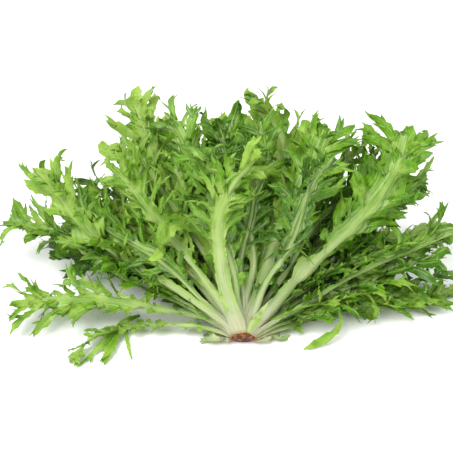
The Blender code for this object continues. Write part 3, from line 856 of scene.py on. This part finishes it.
def web_halves(leaf, path, columns):
    """For each side of a leaf: its number, its lobes, its half of the web, and its random draw."""
    share = np.linspace(path[0][0], LAST_SHARE, columns)
    for side in (0, 1):
        draw = np.random.default_rng([SEED, leaf["number"], side, FOR_SIDE])
        lobes = lobes_of(leaf, side, draw)
        yield side, lobes, half_web(leaf, path, share, side, lobes, draw), draw


def web_tube(halves):
    """One closed tube of both halves of the rib and web. Its margins are the blade's two edges."""
    (left, left_below, left_marks), (right, right_below, right_marks) = halves
    grid = ring_of(left, right, left_below, right_below)[None]
    marks = {
        key: ring_of(left_marks[key], right_marks[key], left_marks[key], right_marks[key])[None]
        for key in left_marks}
    places = len(RIB_PLACES) + len(BLADE_PLACES)
    margin = np.isin(np.arange(grid.shape[2]), (0, 2 * places - 2))
    return grid, marks, margin


def leaf_path(leaf):
    """The line that a fine leaf follows: the solid's, with its foot before it and slow waves."""
    return swayed(leaf, with_foot(leaf, centreline(leaf)))


def leaf_tubes(leaf, columns):
    """All the closed tubes of one leaf: its lobes and their forks, its rib and web, and its tip."""
    path = leaf_path(leaf)
    tubes, halves = [], []
    for side, lobes, half, draw in web_halves(leaf, path, columns):
        halves.append(half)
        free_ends, frames, length, finger = leaf_lobes(leaf, path, side, lobes, draw)
        tubes.append(free_ends)
        tubes.append(leaf_forks(lobes, frames, length, finger, draw))
    tubes.append(web_tube(halves))
    tubes.extend(tip_lobes(leaf, np.random.default_rng([SEED, leaf["number"], FOR_TIP]), path))
    return within_head(tubes)


def torn_base_tubes(azimuth, reach):
    """A torn leaf's base: the rib and web alone, pale and close to the look of a leaf's foot."""
    leaf = torn_base_values(azimuth, min(reach, TORN_REACH))
    leaf["width"] = TORN_WIDTH
    tube = web_tube([half for _, _, half, _ in web_halves(leaf, leaf_path(leaf), TORN_COLUMNS)])
    tube[1]["along"] = tube[1]["along"] * TORN_ALONG
    tube[1]["rib"] = TORN_LEAST_RIB + (1.0 - TORN_LEAST_RIB) * tube[1]["rib"]
    return within_head([tube])


def held(height):
    """Heights eased above the surface, and below the head's top, where soft tips bend over."""
    spare = HEAD_TOP - height
    below_top = HEAD_TOP - 0.5 * (spare + np.sqrt(spare**2 + 4 * TOP_EASE**2))
    return 0.5 * (below_top + np.sqrt(below_top**2 + 4 * FLOOR_EASE**2))


def within_head(tubes):
    """The same tubes, held above the surface and below the head's top."""
    for grid, _, _ in tubes:
        grid[..., 2] = held(grid[..., 2])
    return tubes


def tinted(tubes, tint):
    """The same tubes, each marked with how light its leaf is."""
    return [(grid, dict(marks, tint=np.full(grid.shape[:3], tint)), margin) for grid, marks, margin in tubes]


def smooth_line(places, columns):
    """A curve through places: each span is the cubic that leaves a place towards its neighbours."""
    places = np.asarray(places, float)
    spans = len(places) - 1
    slopes = np.gradient(places, axis=0)
    at = np.linspace(0, spans, columns)
    first = np.minimum(at.astype(int), spans - 1)
    part = (at - first)[:, None]
    start, end = places[first], places[first + 1]
    leave, arrive = slopes[first], slopes[first + 1]
    return (
        (2 * part**3 - 3 * part**2 + 1) * start + (part**3 - 2 * part**2 + part) * leave
        + (3 * part**2 - 2 * part**3) * end + (part**3 - part**2) * arrive)


def strand_tubes(strand, number):
    """One loose strand: a strip carried along a curve, as wide as its list says, and its forks.

    A saw wave along each edge gives it teeth, which point the other way on its other edge.
    """
    draw = np.random.default_rng([SEED, FIRST_STRAND + number])
    places = np.array(strand["places"], float) * MM
    places[:, :2] += CUT_CENTRE[:2]
    line = smooth_line(places, STRAND_COLUMNS)
    onward = unit(np.gradient(line, axis=0))
    share = np.linspace(0.0, 1.0, STRAND_COLUMNS)
    turn = np.radians(np.interp(share, (0.0, 1.0), strand["turn"]))[:, None]
    side = unit(np.cross(onward, (0.0, 0.0, 1.0)))
    normal = np.cross(side, onward)
    frames = tuple(values[None] for values in (line, onward, *turned_by(turn, side, normal)))
    half = np.interp(share, np.linspace(0, 1, len(strand["widths"])), strand["widths"]) * MM / 2
    saw = np.mod(share * 9 + draw.uniform(), 1.0) ** 1.5 * 0.5
    length = np.array([np.linalg.norm(np.diff(line, axis=0), axis=1).sum()])
    along = np.array([0.3 if number in LEAFLETS else 0.7])
    left, right = (half * (1 + saw))[None], (half * (1 + saw[::-1]))[None]
    tubes = [strips(frames, left, right, LOBE_RING, along, length)]
    if strand["forks"]:
        lobes = {"centre": np.array([0.7]), "forks": np.array([strand["forks"]])}
        column = np.linspace(0, STRAND_COLUMNS - 1, LOBE_COLUMNS).astype(int)
        coarse = tuple(values[:, column] for values in frames)
        tubes.append(leaf_forks(lobes, coarse, length * 0.45, half.max(keepdims=True), draw))
    if number in LEAFLETS:
        for grid, marks, _ in tubes:
            marks["rib"] = np.full(grid.shape[:3], LEAFLET_RIB)
    return tinted(within_head(tubes), LEAFLET_TINT if number in LEAFLETS else STRAND_TINT)


# The mesh of a piece.

def add_tubes(name, tubes):
    """One mesh of closed tubes, from grids of tubes by columns by places round them.

    The rings of a tube are joined in order and its two ends are capped. Edges along its margins are
    sharp, so that both faces of a thin blade are shaded right up to them.
    """
    points, quads, caps, margins, start = [], [], [], [], 0
    values = {key: [] for key in tubes[0][1]}
    for grid, marks, margin in tubes:
        count, columns, around = grid.shape[:3]
        index = start + np.arange(count * columns * around).reshape(count, columns, around)
        after = np.roll(index, -1, axis=2)
        quads.append(np.stack([index[:, :-1], after[:, :-1], after[:, 1:], index[:, 1:]], -1).reshape(-1, 4))
        caps.extend([index[:, 0, ::-1], index[:, -1]])
        points.append(grid.reshape(-1, 3))
        margins.append(np.broadcast_to(margin, grid.shape[:3]).ravel())
        for key in values:
            values[key].append(np.asarray(marks[key]).ravel())
        start += index.size
    points, quads, margins = np.concatenate(points), np.concatenate(quads), np.concatenate(margins)
    corners = np.concatenate([quads.ravel(), *(cap.ravel() for cap in caps)])
    totals = np.concatenate([np.full(len(quads), 4), *(np.full(len(cap), cap.shape[1]) for cap in caps)])
    mesh = bpy.data.meshes.new(name)
    mesh.vertices.add(len(points))
    mesh.vertices.foreach_set("co", points.astype(np.float32).ravel())
    mesh.loops.add(len(corners))
    mesh.loops.foreach_set("vertex_index", corners.astype(np.int32))
    mesh.polygons.add(len(totals))
    mesh.polygons.foreach_set("loop_start", (np.cumsum(totals) - totals).astype(np.int32))
    mesh.polygons.foreach_set("use_smooth", np.ones(len(totals), bool))
    mesh.update(calc_edges=True)
    ends = np.zeros(len(mesh.edges) * 2, np.int32)
    mesh.edges.foreach_get("vertices", ends)
    sharp = margins[ends.reshape(-1, 2)].all(axis=1)
    mesh.attributes.new("sharp_edge", "BOOLEAN", "EDGE").data.foreach_set("value", sharp)
    values["from_cut"] = [np.linalg.norm(points - CUT_CENTRE, axis=1) / MM]
    for key, value in values.items():
        attribute = mesh.attributes.new(key, "FLOAT", "POINT")
        attribute.data.foreach_set("value", np.concatenate(value).astype(np.float32))
    made = bpy.data.objects.new(name, mesh)
    bpy.context.scene.collection.objects.link(made)
    return made


# Kinds of shader nodes, and settings that several of them share.
ATTRIBUTE = "ShaderNodeAttribute"
BUMP = "ShaderNodeBump"
CELLS = "ShaderNodeTexVoronoi"
COORDINATES = "ShaderNodeTexCoord"
JOINED = "ShaderNodeCombineXYZ"
MAPPING = "ShaderNodeMapping"
MATH = "ShaderNodeMath"
MIX = "ShaderNodeMix"
NOISE = "ShaderNodeTexNoise"
RANGE = "ShaderNodeMapRange"
SPLIT = "ShaderNodeSeparateXYZ"
PRINCIPLED = "ShaderNodeBsdfPrincipled"
TRANSLUCENT = "ShaderNodeBsdfTranslucent"
MIXED_SHADERS = "ShaderNodeMixShader"
COLOUR = {"data_type": "RGBA"}
EASED = {"interpolation_type": "SMOOTHSTEP"}
TIMES = {"operation": "MULTIPLY"}
TIMES_PLUS = {"operation": "MULTIPLY_ADD"}
LARGER = {"operation": "MAXIMUM"}

# The marks that each point of a leaf carries: how much of a rib it is, the share of the leaf's
# length, how pale the blade is beside a rib, the leaf's tint, its place across and along the leaf in
# mm, and its distance from the cut face in mm.
LEAF_MARKS = ("rib", "along", "vein", "tint", "across", "run", "from_cut")


def add_node(tree, kind, settings, inputs, output=0):
    """Adds a node and gives its output. An input is a value or another node's output."""
    node = tree.nodes.new(kind)
    for name, value in settings.items():
        setattr(node, name, value)
    for name, value in inputs.items():
        if isinstance(value, bpy.types.NodeSocket):
            tree.links.new(value, node.inputs[name])
        else:
            node.inputs[name].default_value = value
    return node.outputs[output]


def empty_material(name):
    """A new material without nodes, and its node tree."""
    made = bpy.data.materials.new(name)
    made.use_nodes = True
    made.node_tree.nodes.clear()
    return made, made.node_tree


def leaf_patterns(tree, marks):
    """The leaf's patterns: patches over the head, streaks along each leaf, veins' meshes and grain.

    The streaks lie in the leaf's own places across and along it, and the tint sets each leaf's apart.
    """
    place = add_node(tree, COORDINATES, {}, {}, "Object")
    leaf_place = add_node(tree, JOINED, {}, {"X": marks["across"], "Y": marks["run"], "Z": marks["tint"]})
    scale = (MM / STREAK_WIDTH, MM / STREAK_LENGTH, 40.0)
    stretched = add_node(tree, MAPPING, {}, {"Vector": leaf_place, "Scale": scale})
    return {
        "patches": add_node(tree, NOISE, {}, {"Vector": place, "Scale": 1 / PATCH, "Detail": 3.0}, "Fac"),
        "streaks": add_node(tree, NOISE, {}, {"Vector": stretched, "Scale": 1.0, "Detail": 1.5}, "Fac"),
        "meshes": add_node(
            tree, CELLS, {"feature": "DISTANCE_TO_EDGE"}, {"Vector": place, "Scale": 1 / VEIN_MESH},
            "Distance"),
        "grain": add_node(tree, NOISE, {}, {"Vector": place, "Scale": 1 / GRAIN, "Detail": 3.0}, "Fac"),
    }


def blade_colour(tree, marks, patterns):
    """Deep and light green in patches, moved by each leaf's own tint, with paler streaks and veins."""
    moved = add_node(tree, MATH, TIMES, {0: marks["tint"], 1: 0.5})
    uneven = add_node(tree, MATH, TIMES_PLUS, {0: patterns["patches"], 1: 0.6, 2: moved})
    patch = add_node(tree, RANGE, EASED, {0: uneven, 1: 0.29, 2: 0.75})
    first = add_node(tree, RANGE, EASED, {0: patch, 1: 0.0, 2: 0.5})
    second = add_node(tree, RANGE, EASED, {0: patch, 1: 0.45, 2: 1.0})
    blade = add_node(tree, MIX, COLOUR, {0: first, 6: colours().dark, 7: colours().middle}, 2)
    blade = add_node(tree, MIX, COLOUR, {0: second, 6: blade, 7: colours().light}, 2)
    streak = add_node(tree, RANGE, EASED, {0: patterns["streaks"], 1: 0.45, 2: 0.7, 3: 0.0, 4: 0.5})
    blade = add_node(tree, MIX, COLOUR, {0: streak, 6: blade, 7: colours().light}, 2)
    net = add_node(tree, RANGE, EASED, {0: patterns["meshes"], 1: 0.0, 2: 0.12, 3: 0.14, 4: 0.0})
    blade = add_node(tree, MIX, COLOUR, {0: net, 6: blade, 7: colours().light}, 2)
    veined = add_node(tree, RANGE, EASED, {0: patterns["streaks"], 1: 0.4, 2: 0.65, 3: 0.05, 4: 0.62})
    beside_rib = add_node(tree, MATH, TIMES, {0: marks["vein"], 1: veined})
    return add_node(tree, MIX, COLOUR, {0: beside_rib, 6: blade, 7: colours().rib}, 2)


def rib_colour(tree, marks, patterns):
    """The rib: whitish and a little brownish in patches at its foot, then pale, and green towards its end.
    """
    upper = add_node(tree, RANGE, EASED, {0: marks["along"], 1: -0.02, 2: 0.18})
    pale = add_node(tree, MIX, COLOUR, {0: upper, 6: colours().stalk, 7: colours().rib}, 2)
    green = add_node(tree, RANGE, EASED, {0: marks["along"], 1: 0.2, 2: 0.75, 3: 0.0, 4: 0.7})
    pale = add_node(tree, MIX, COLOUR, {0: green, 6: pale, 7: colours().light}, 2)
    stripe = add_node(tree, RANGE, EASED, {0: patterns["streaks"], 1: 0.48, 2: 0.66, 3: 0.0, 4: 0.4})
    pale = add_node(tree, MIX, COLOUR, {0: stripe, 6: pale, 7: colours().middle}, 2)
    # A brownish tinge in patches over the rib's foot, near the cut.
    foot = add_node(tree, RANGE, EASED, {0: marks["along"], 1: -0.05, 2: 0.12, 3: 0.6, 4: 0.0})
    tinged = add_node(tree, MATH, TIMES, {0: foot, 1: patterns["patches"]})
    return add_node(tree, MIX, COLOUR, {0: tinged, 6: pale, 7: colours().base_tinge}, 2)


def leaf_colour(tree, marks, patterns):
    """The rib sunk into the blade towards the leaf's end, and a dried rim beside the cut face."""
    sunk = add_node(tree, RANGE, EASED, {0: marks["along"], 1: 0.3, 2: 0.8, 3: 0.95, 4: 0.35})
    shown = add_node(tree, MATH, TIMES, {0: marks["rib"], 1: sunk})
    stalk = add_node(tree, RANGE, EASED, {0: marks["along"], 1: 0.0, 2: 0.15, 3: 0.8, 4: 0.0})
    shown = add_node(tree, MATH, LARGER, {0: shown, 1: stalk})
    blade = blade_colour(tree, marks, patterns)
    rib = rib_colour(tree, marks, patterns)
    colour = add_node(tree, MIX, COLOUR, {0: shown, 6: blade, 7: rib}, 2)
    rim = add_node(tree, MATH, TIMES_PLUS, {0: patterns["streaks"], 1: 4.0, 2: marks["from_cut"]})
    dried = add_node(tree, RANGE, EASED, {0: rim, 1: 12.2, 2: 14.8, 3: 0.7, 4: 0.0})
    return add_node(tree, MIX, COLOUR, {0: dried, 6: colour, 7: colours().cut_light}, 2)


def leaf_material():
    """Fresh endive leaf, grown and not processed: thin waxy tissue that glows against the light.

    The eye sees a whitish juicy base, a pale rib that turns green upwards and sinks into the blade,
    fine streaks along the leaf, and a blade that shifts between yellow-green and deep green. Fine
    grain, swollen meshes and streaks raise the skin by parts of a millimetre.
    """
    made, tree = empty_material("fresh_endive_leaf")
    marks = {name: add_node(tree, ATTRIBUTE, {"attribute_name": name}, {}, "Fac") for name in LEAF_MARKS}
    patterns = leaf_patterns(tree, marks)
    colour = leaf_colour(tree, marks, patterns)
    swollen = add_node(tree, RANGE, EASED, {0: patterns["meshes"], 1: 0.0, 2: 0.3, 3: 0.0, 4: 0.3})
    height = add_node(tree, MATH, TIMES_PLUS, {0: patterns["grain"], 1: 0.3, 2: swollen})
    height = add_node(tree, MATH, TIMES_PLUS, {0: patterns["streaks"], 1: 0.5, 2: height})
    bump = add_node(tree, BUMP, {}, {"Height": height, "Strength": 0.5, "Distance": 0.5 * MM})
    rough = add_node(tree, RANGE, EASED, {0: patterns["grain"], 1: 0.2, 2: 0.8, 3: 0.28, 4: 0.45})
    body = add_node(
        tree, PRINCIPLED, {},
        {"Base Color": colour, "Roughness": rough, "Normal": bump, "IOR": 1.42, "Specular IOR Level": 0.32,
         "Coat Weight": 0.18, "Coat Roughness": 0.12})
    glow = add_node(tree, TRANSLUCENT, {}, {"Color": colour, "Normal": bump})
    both = add_node(tree, MIXED_SHADERS, {}, {0: 0.34, 1: body, 2: glow})
    end = tree.nodes.new("ShaderNodeOutputMaterial")
    tree.links.new(both, end.inputs["Surface"])
    return made


def core_material():
    """Endive stem: moist whitish flesh, with a knife-cut face that has dried brown and rough.

    The eye sees dark hollows and paler fibres in the brown, painted shade that darkens it near the
    surface below, and a ragged fringe where the brown ends.
    """
    made, tree = empty_material("cut_endive_stem")
    place = add_node(tree, COORDINATES, {}, {}, "Object")
    cut = add_node(tree, ATTRIBUTE, {"attribute_name": "cut"}, {}, "Fac")
    blotch = add_node(tree, NOISE, {}, {"Vector": place, "Scale": 1 / BLOTCH, "Detail": 5.0}, "Fac")
    dry = add_node(tree, RANGE, EASED, {0: blotch, 1: 0.35, 2: 0.62})
    fibre = add_node(tree, RANGE, EASED, {0: blotch, 1: 0.55, 2: 0.72})
    brown = add_node(tree, MIX, COLOUR, {0: dry, 6: colours().cut_dark_and_shade, 7: colours().cut}, 2)
    brown = add_node(tree, MIX, COLOUR, {0: fibre, 6: brown, 7: colours().cut_light}, 2)
    height = add_node(tree, SPLIT, {}, {0: place}, "Z")
    # Painted shade: the cut face darkens towards the surface below, from 6.5 mm down to 1.5 mm above it.
    shaded = add_node(tree, RANGE, EASED, {0: height, 1: 1.5 * MM, 2: 6.5 * MM, 3: 0.8, 4: 0.0})
    brown = add_node(tree, MIX, COLOUR, {0: shaded, 6: brown, 7: colours().cut_dark_and_shade}, 2)
    ragged = add_node(tree, MATH, TIMES_PLUS, {0: blotch, 1: 0.3, 2: cut})
    fringe = add_node(tree, RANGE, EASED, {0: ragged, 1: 0.35, 2: 0.65})
    edge = add_node(tree, RANGE, EASED, {0: ragged, 1: 0.85, 2: 1.1})
    colour = add_node(tree, MIX, COLOUR, {0: fringe, 6: colours().stalk, 7: colours().cut_light}, 2)
    colour = add_node(tree, MIX, COLOUR, {0: edge, 6: colour, 7: brown}, 2)
    rough = add_node(tree, RANGE, EASED, {0: cut, 1: 0.2, 2: 0.8, 3: 0.45, 4: 0.8})
    bump = add_node(tree, BUMP, {}, {"Height": blotch, "Strength": 0.8, "Distance": 1.2 * MM})
    body = add_node(tree, PRINCIPLED, {}, {"Base Color": colour, "Roughness": rough, "Normal": bump})
    end = tree.nodes.new("ShaderNodeOutputMaterial")
    tree.links.new(body, end.inputs["Surface"])
    return made


# What each piece is: its slot, its tint and the solid that it fits.

def leaf_slot(leaf):
    """The record's slot for a leaf: leaves grow paler towards the heart."""
    degrees = math.degrees(leaf["polar"])
    return "outer_leaf" if degrees > OUTER_FROM else "middle_leaf" if degrees > MIDDLE_FROM else "heart_leaf"


def tint_of(leaf):
    """How light a leaf is, from 0 to 1: inner leaves are lighter, and each leaf varies."""
    draw = np.random.default_rng([SEED, leaf["number"], FOR_TINT])
    inner = 1.0 - leaf["polar"] / math.radians(WIDEST_ROW)
    if is_known(leaf):
        return float(np.clip(0.5 + 0.2 * inner + draw.normal(0, 0.1), 0.0, 1.0))
    return float(np.clip(0.36 + 0.35 * inner + draw.normal(0, 0.17), 0.18, 1.0))


def fit_to_solid(number, rule, node):
    """The values of the leaf that a solid shows: those whose middle line lies closest to its mesh."""
    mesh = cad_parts[node].data
    points = np.zeros(len(mesh.vertices) * 3)
    mesh.vertices.foreach_get("co", points)
    points = points.reshape(1, -1, 3)
    best, least = None, math.inf
    for trial in range(TRIALS):
        leaf = leaf_values(number, rule, trial)
        line = centreline(leaf)[1]
        away = np.linalg.norm(line[:, None] - points, axis=2).min(axis=1).mean()
        if away < least:
            best, least = leaf, away
    return best, least


def inner_leaf_values(number):
    """A small leaf between the rows, shorter than its neighbours: the first free one of many aims.

    One in so many lies low, to the right and the left in turn, where the eye would look under the
    head. The others are spread evenly over a disc round the axis.
    """
    draw = np.random.default_rng([SEED, FIRST_INNER + number])
    polar = INNER_WIDEST * np.sqrt(draw.uniform(0.0, 1.0, INNER_AIMS))
    around = draw.uniform(-math.pi, math.pi, INNER_AIMS)
    towards = direction(polar, around)
    free = int(np.argmax((towards[:, 2] > math.sin(LOWEST_AIM)) & (towards[:, 1] > INNER_BACK)))
    rule = {"polar": float(polar[free]), "around": float(around[free]), "known": False}
    lies_low = number % LOW_EVERY == LOW_EVERY - 1
    if lies_low:
        to_right = 1 if number % (2 * LOW_EVERY) == LOW_EVERY - 1 else -1
        low = aim(to_right * draw.uniform(40, 78), draw.uniform(3, 15))
        rule.update(polar=low[0], around=low[1])
    leaf = leaf_values(FIRST_INNER + number, rule, 0)
    if lies_low:
        leaf["starts"] = LOW_STARTS
    leaf["reach"] *= draw.uniform(0.6, 0.98)
    leaf["rib"] *= 0.7
    leaf["width"] *= draw.uniform(0.6, 0.95)
    leaf["cut"] = draw.uniform(0.6, 0.95)
    leaf["twist"] *= 1.8
    leaf["bend"] *= 2.0
    leaf["swing"] *= 1.8
    return leaf


def core_piece():
    """The core: its profile turned round the axis with low ridges, its cut face uneven in front.

    The radius at an angle is the profile's, times 1 plus small sines of 3, 5 and 11 turns. The cut face
    is the same turned grid, drawn in to its centre, with bumps along the axis. The cut mark is 1 on
    the face and falls to 0 over the first millimetres of the side.
    """
    turns = np.linspace(0.0, 2 * math.pi, CORE_AROUND, endpoint=False)
    distances, radii = (np.array(values) for values in zip(*CORE_PROFILE))
    along = np.linspace(0.0, distances[-1], CORE_RINGS)
    radius = np.interp(along, distances, radii)
    face_share = np.linspace(0.06, 1.0, FACE_RINGS + 1)[:-1]
    all_along = np.concatenate([np.zeros(FACE_RINGS), along, np.full(len(END_RINGS), distances[-1])])
    all_radius = np.concatenate([radius[0] * face_share, radius, radius[-1] * END_RINGS])
    ridge = 1.0 + 0.03 * np.sin(3 * turns + 2.2) + 0.04 * np.sin(5 * turns + 0.6) + 0.02 * np.sin(11 * turns)
    inside = np.concatenate([1.0 - face_share**4, np.zeros(CORE_RINGS + len(END_RINGS))])
    bumps = np.sin(all_radius[:, None] / MM * 1.9 + 3 * turns) * np.cos(4 * turns) * 0.35 * MM
    offset = inside[:, None] * (bumps - 0.9 * MM)
    outward = np.cos(turns)[:, None] * UPPER_SIDE + np.sin(turns)[:, None] * RIGHT_SIDE
    grid = (
        CUT_CENTRE
        + (all_along[:, None] + offset)[..., None] * AXIS
        + (all_radius[:, None] * ridge)[..., None] * outward[None])
    grid[..., 2] = np.maximum(grid[..., 2], 0.0)
    side_cut = np.clip(1.0 - along / (3.5 * MM), 0, 1)
    cut = np.concatenate([np.ones(FACE_RINGS), side_cut, np.zeros(len(END_RINGS))])
    marks = {"cut": np.broadcast_to(cut[:, None], grid.shape[:2])[None]}
    return add_tubes("cut_core", [(grid[None], marks, np.zeros(CORE_AROUND, bool))])


# The stage.

def floor_piece():
    """A wide flat white floor for the head to lie on."""
    material = bpy.data.materials.new("white_studio_floor")
    material.use_nodes = True
    shader = material.node_tree.nodes["Principled BSDF"]
    shader.inputs["Base Color"].default_value = colours().floor
    shader.inputs["Roughness"].default_value = 0.9
    mesh = bpy.data.meshes.new("floor")
    corners = [(x * FLOOR_HALF, y * FLOOR_HALF, 0) for x, y in ((-1, -1), (1, -1), (1, 1), (-1, 1))]
    mesh.from_pydata(corners, [], [(0, 1, 2, 3)])
    mesh.materials.append(material)
    floor = bpy.data.objects.new("floor", mesh)
    bpy.context.scene.collection.objects.link(floor)
    return floor


def light_world():
    """An even white world."""
    world = bpy.data.worlds.new("soft_studio")
    world.use_nodes = True
    background = world.node_tree.nodes["Background"]
    background.inputs["Color"].default_value = (1.0, 1.0, 1.0, 1.0)
    background.inputs["Strength"].default_value = WORLD_STRENGTH
    bpy.context.scene.world = world
    bpy.context.scene.view_settings.view_transform = "Standard"


def add_light(name, place, size, power):
    """A square soft light that faces the head."""
    data = bpy.data.lights.new(name, "AREA")
    data.size = size
    data.energy = power
    light = bpy.data.objects.new(name, data)
    light.location = place
    light.rotation_euler = (Vector(LIGHTS_AIM) - Vector(place)).to_track_quat("-Z", "Y").to_euler()
    bpy.context.scene.collection.objects.link(light)


def add_camera():
    """The camera, looking along +Y and down, so far off that a pixel reaches its real size."""
    data = bpy.data.cameras.new("camera")
    data.lens = LENS
    data.sensor_width = SENSOR
    camera = bpy.data.objects.new("camera", data)
    forward = Vector((0.0, math.cos(CAMERA_HEIGHT), -math.sin(CAMERA_HEIGHT)))
    upward = Vector((0.0, math.sin(CAMERA_HEIGHT), math.cos(CAMERA_HEIGHT)))
    target = Vector(CUT_CENTRE) - Vector((1, 0, 0)) * STEM_RIGHT * PIXEL + upward * STEM_BELOW * PIXEL
    distance = IMAGE_SIDE * PIXEL * LENS / SENSOR
    camera.location = target - forward * distance
    camera.rotation_euler = forward.to_track_quat("-Z", "Y").to_euler()
    bpy.context.scene.collection.objects.link(camera)
    bpy.context.scene.camera = camera


# The operators, the panel and the run.

class ENDIVE_OT_leaves(bpy.types.Operator):
    """Makes a fine leaf in place of each leaf solid"""

    bl_idname = "endive.leaves"
    bl_label = "Leaves"

    def execute(self, context):
        finish = leaf_material()
        worst = 0.0
        for number, rule in enumerate(leaf_rules(), start=1):
            node = f"leaf_{number:02d}"
            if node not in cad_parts:
                continue
            leaf, away = fit_to_solid(number, rule, node)
            worst = max(worst, away)
            leaf["cut"] = DEEPER_CUT.get(number, leaf["cut"])
            tubes = tinted(leaf_tubes(leaf, LEAF_COLUMNS), tint_of(leaf))
            made = add_tubes(f"frond_{number:02d}", tubes)
            made.data.materials.append(finish)
            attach(made, "root")
            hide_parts(node)
            leaf_slot(leaf)
        print(f"leaves fitted, the worst {worst / MM:.2f} mm from its solid's points")
        return {"FINISHED"}


class ENDIVE_OT_inner_leaves(bpy.types.Operator):
    """Makes the small leaves that fill the head between the large ones"""

    bl_idname = "endive.inner_leaves"
    bl_label = "Inner leaves"

    def execute(self, context):
        finish = bpy.data.materials["fresh_endive_leaf"]
        groups = {}
        for number in range(sizes().inner_leaves):
            leaf = inner_leaf_values(number)
            tubes = tinted(leaf_tubes(leaf, INNER_COLUMNS), tint_of(leaf))
            groups.setdefault(number % INNER_GROUPS, []).extend(tubes)
        for place, tubes in groups.items():
            made = add_tubes(f"inner_fronds_{place + 1}", tubes)
            made.data.materials.append(finish)
            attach(made, "root")
        return {"FINISHED"}


class ENDIVE_OT_strands(bpy.types.Operator):
    """Makes the loose strands that hang in front of the leaves"""

    bl_idname = "endive.strands"
    bl_label = "Strands"

    def execute(self, context):
        tubes = []
        for number, strand in enumerate(STRANDS):
            tubes.extend(strand_tubes(strand, number))
        made = add_tubes("loose_strands", tubes)
        made.data.materials.append(bpy.data.materials["fresh_endive_leaf"])
        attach(made, "root")
        return {"FINISHED"}


class ENDIVE_OT_torn_bases(bpy.types.Operator):
    """Makes the two pale bases of leaves that were torn off"""

    bl_idname = "endive.torn_bases"
    bl_label = "Torn bases"

    def execute(self, context):
        finish = bpy.data.materials["fresh_endive_leaf"]
        for name, (azimuth, reach) in TORN_BASES.items():
            tubes = tinted(torn_base_tubes(azimuth, reach), TORN_TINT)
            made = add_tubes(name.replace("torn_base", "torn_leaf"), tubes)
            made.data.materials.append(finish)
            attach(made, "root")
            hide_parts(name)
        return {"FINISHED"}


class ENDIVE_OT_core(bpy.types.Operator):
    """Makes the core with its rough brown cut face"""

    bl_idname = "endive.core"
    bl_label = "Core"

    def execute(self, context):
        made = core_piece()
        made.data.materials.append(core_material())
        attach(made, "root")
        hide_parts("core")
        return {"FINISHED"}


class ENDIVE_OT_stage(bpy.types.Operator):
    """Makes the floor, the lights and the camera"""

    bl_idname = "endive.stage"
    bl_label = "Stage"

    def execute(self, context):
        floor = floor_piece()
        light_world()
        for name, values in LIGHTS.items():
            add_light(name, *values)
        add_camera()
        return {"FINISHED"}


class ENDIVE_PT_panel(bpy.types.Panel):
    """Lists the sizes, the colours and the pieces"""

    bl_label = "Curly endive"
    bl_idname = "ENDIVE_PT_panel"
    bl_space_type = "VIEW_3D"
    bl_region_type = "UI"
    bl_category = "Endive"

    def draw(self, context):
        for group in (context.scene.endive_sizes, context.scene.endive_colours):
            for name in group.bl_rna.properties.keys():
                if name not in ("rna_type", "name"):
                    self.layout.prop(group, name)
        for operator in OPERATORS:
            self.layout.operator(operator.bl_idname)


OPERATORS = (
    ENDIVE_OT_core, ENDIVE_OT_leaves, ENDIVE_OT_inner_leaves, ENDIVE_OT_strands, ENDIVE_OT_torn_bases,
    ENDIVE_OT_stage,
)
CLASSES = (EndiveSizes, EndiveColours, *OPERATORS, ENDIVE_PT_panel)


def register():
    """Adds the classes and their settings to Blender."""
    for made in CLASSES:
        bpy.utils.register_class(made)
    bpy.types.Scene.endive_sizes = bpy.props.PointerProperty(type=EndiveSizes)
    bpy.types.Scene.endive_colours = bpy.props.PointerProperty(type=EndiveColours)


def unregister():
    """Takes them out again."""
    del bpy.types.Scene.endive_colours
    del bpy.types.Scene.endive_sizes
    for made in reversed(CLASSES):
        bpy.utils.unregister_class(made)


def main():
    """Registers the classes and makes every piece."""
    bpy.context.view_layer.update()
    register()
    bpy.ops.endive.core()
    bpy.ops.endive.leaves()
    bpy.ops.endive.inner_leaves()
    bpy.ops.endive.strands()
    bpy.ops.endive.torn_bases()
    bpy.ops.endive.stage()


if __name__ == "__main__":
    main()
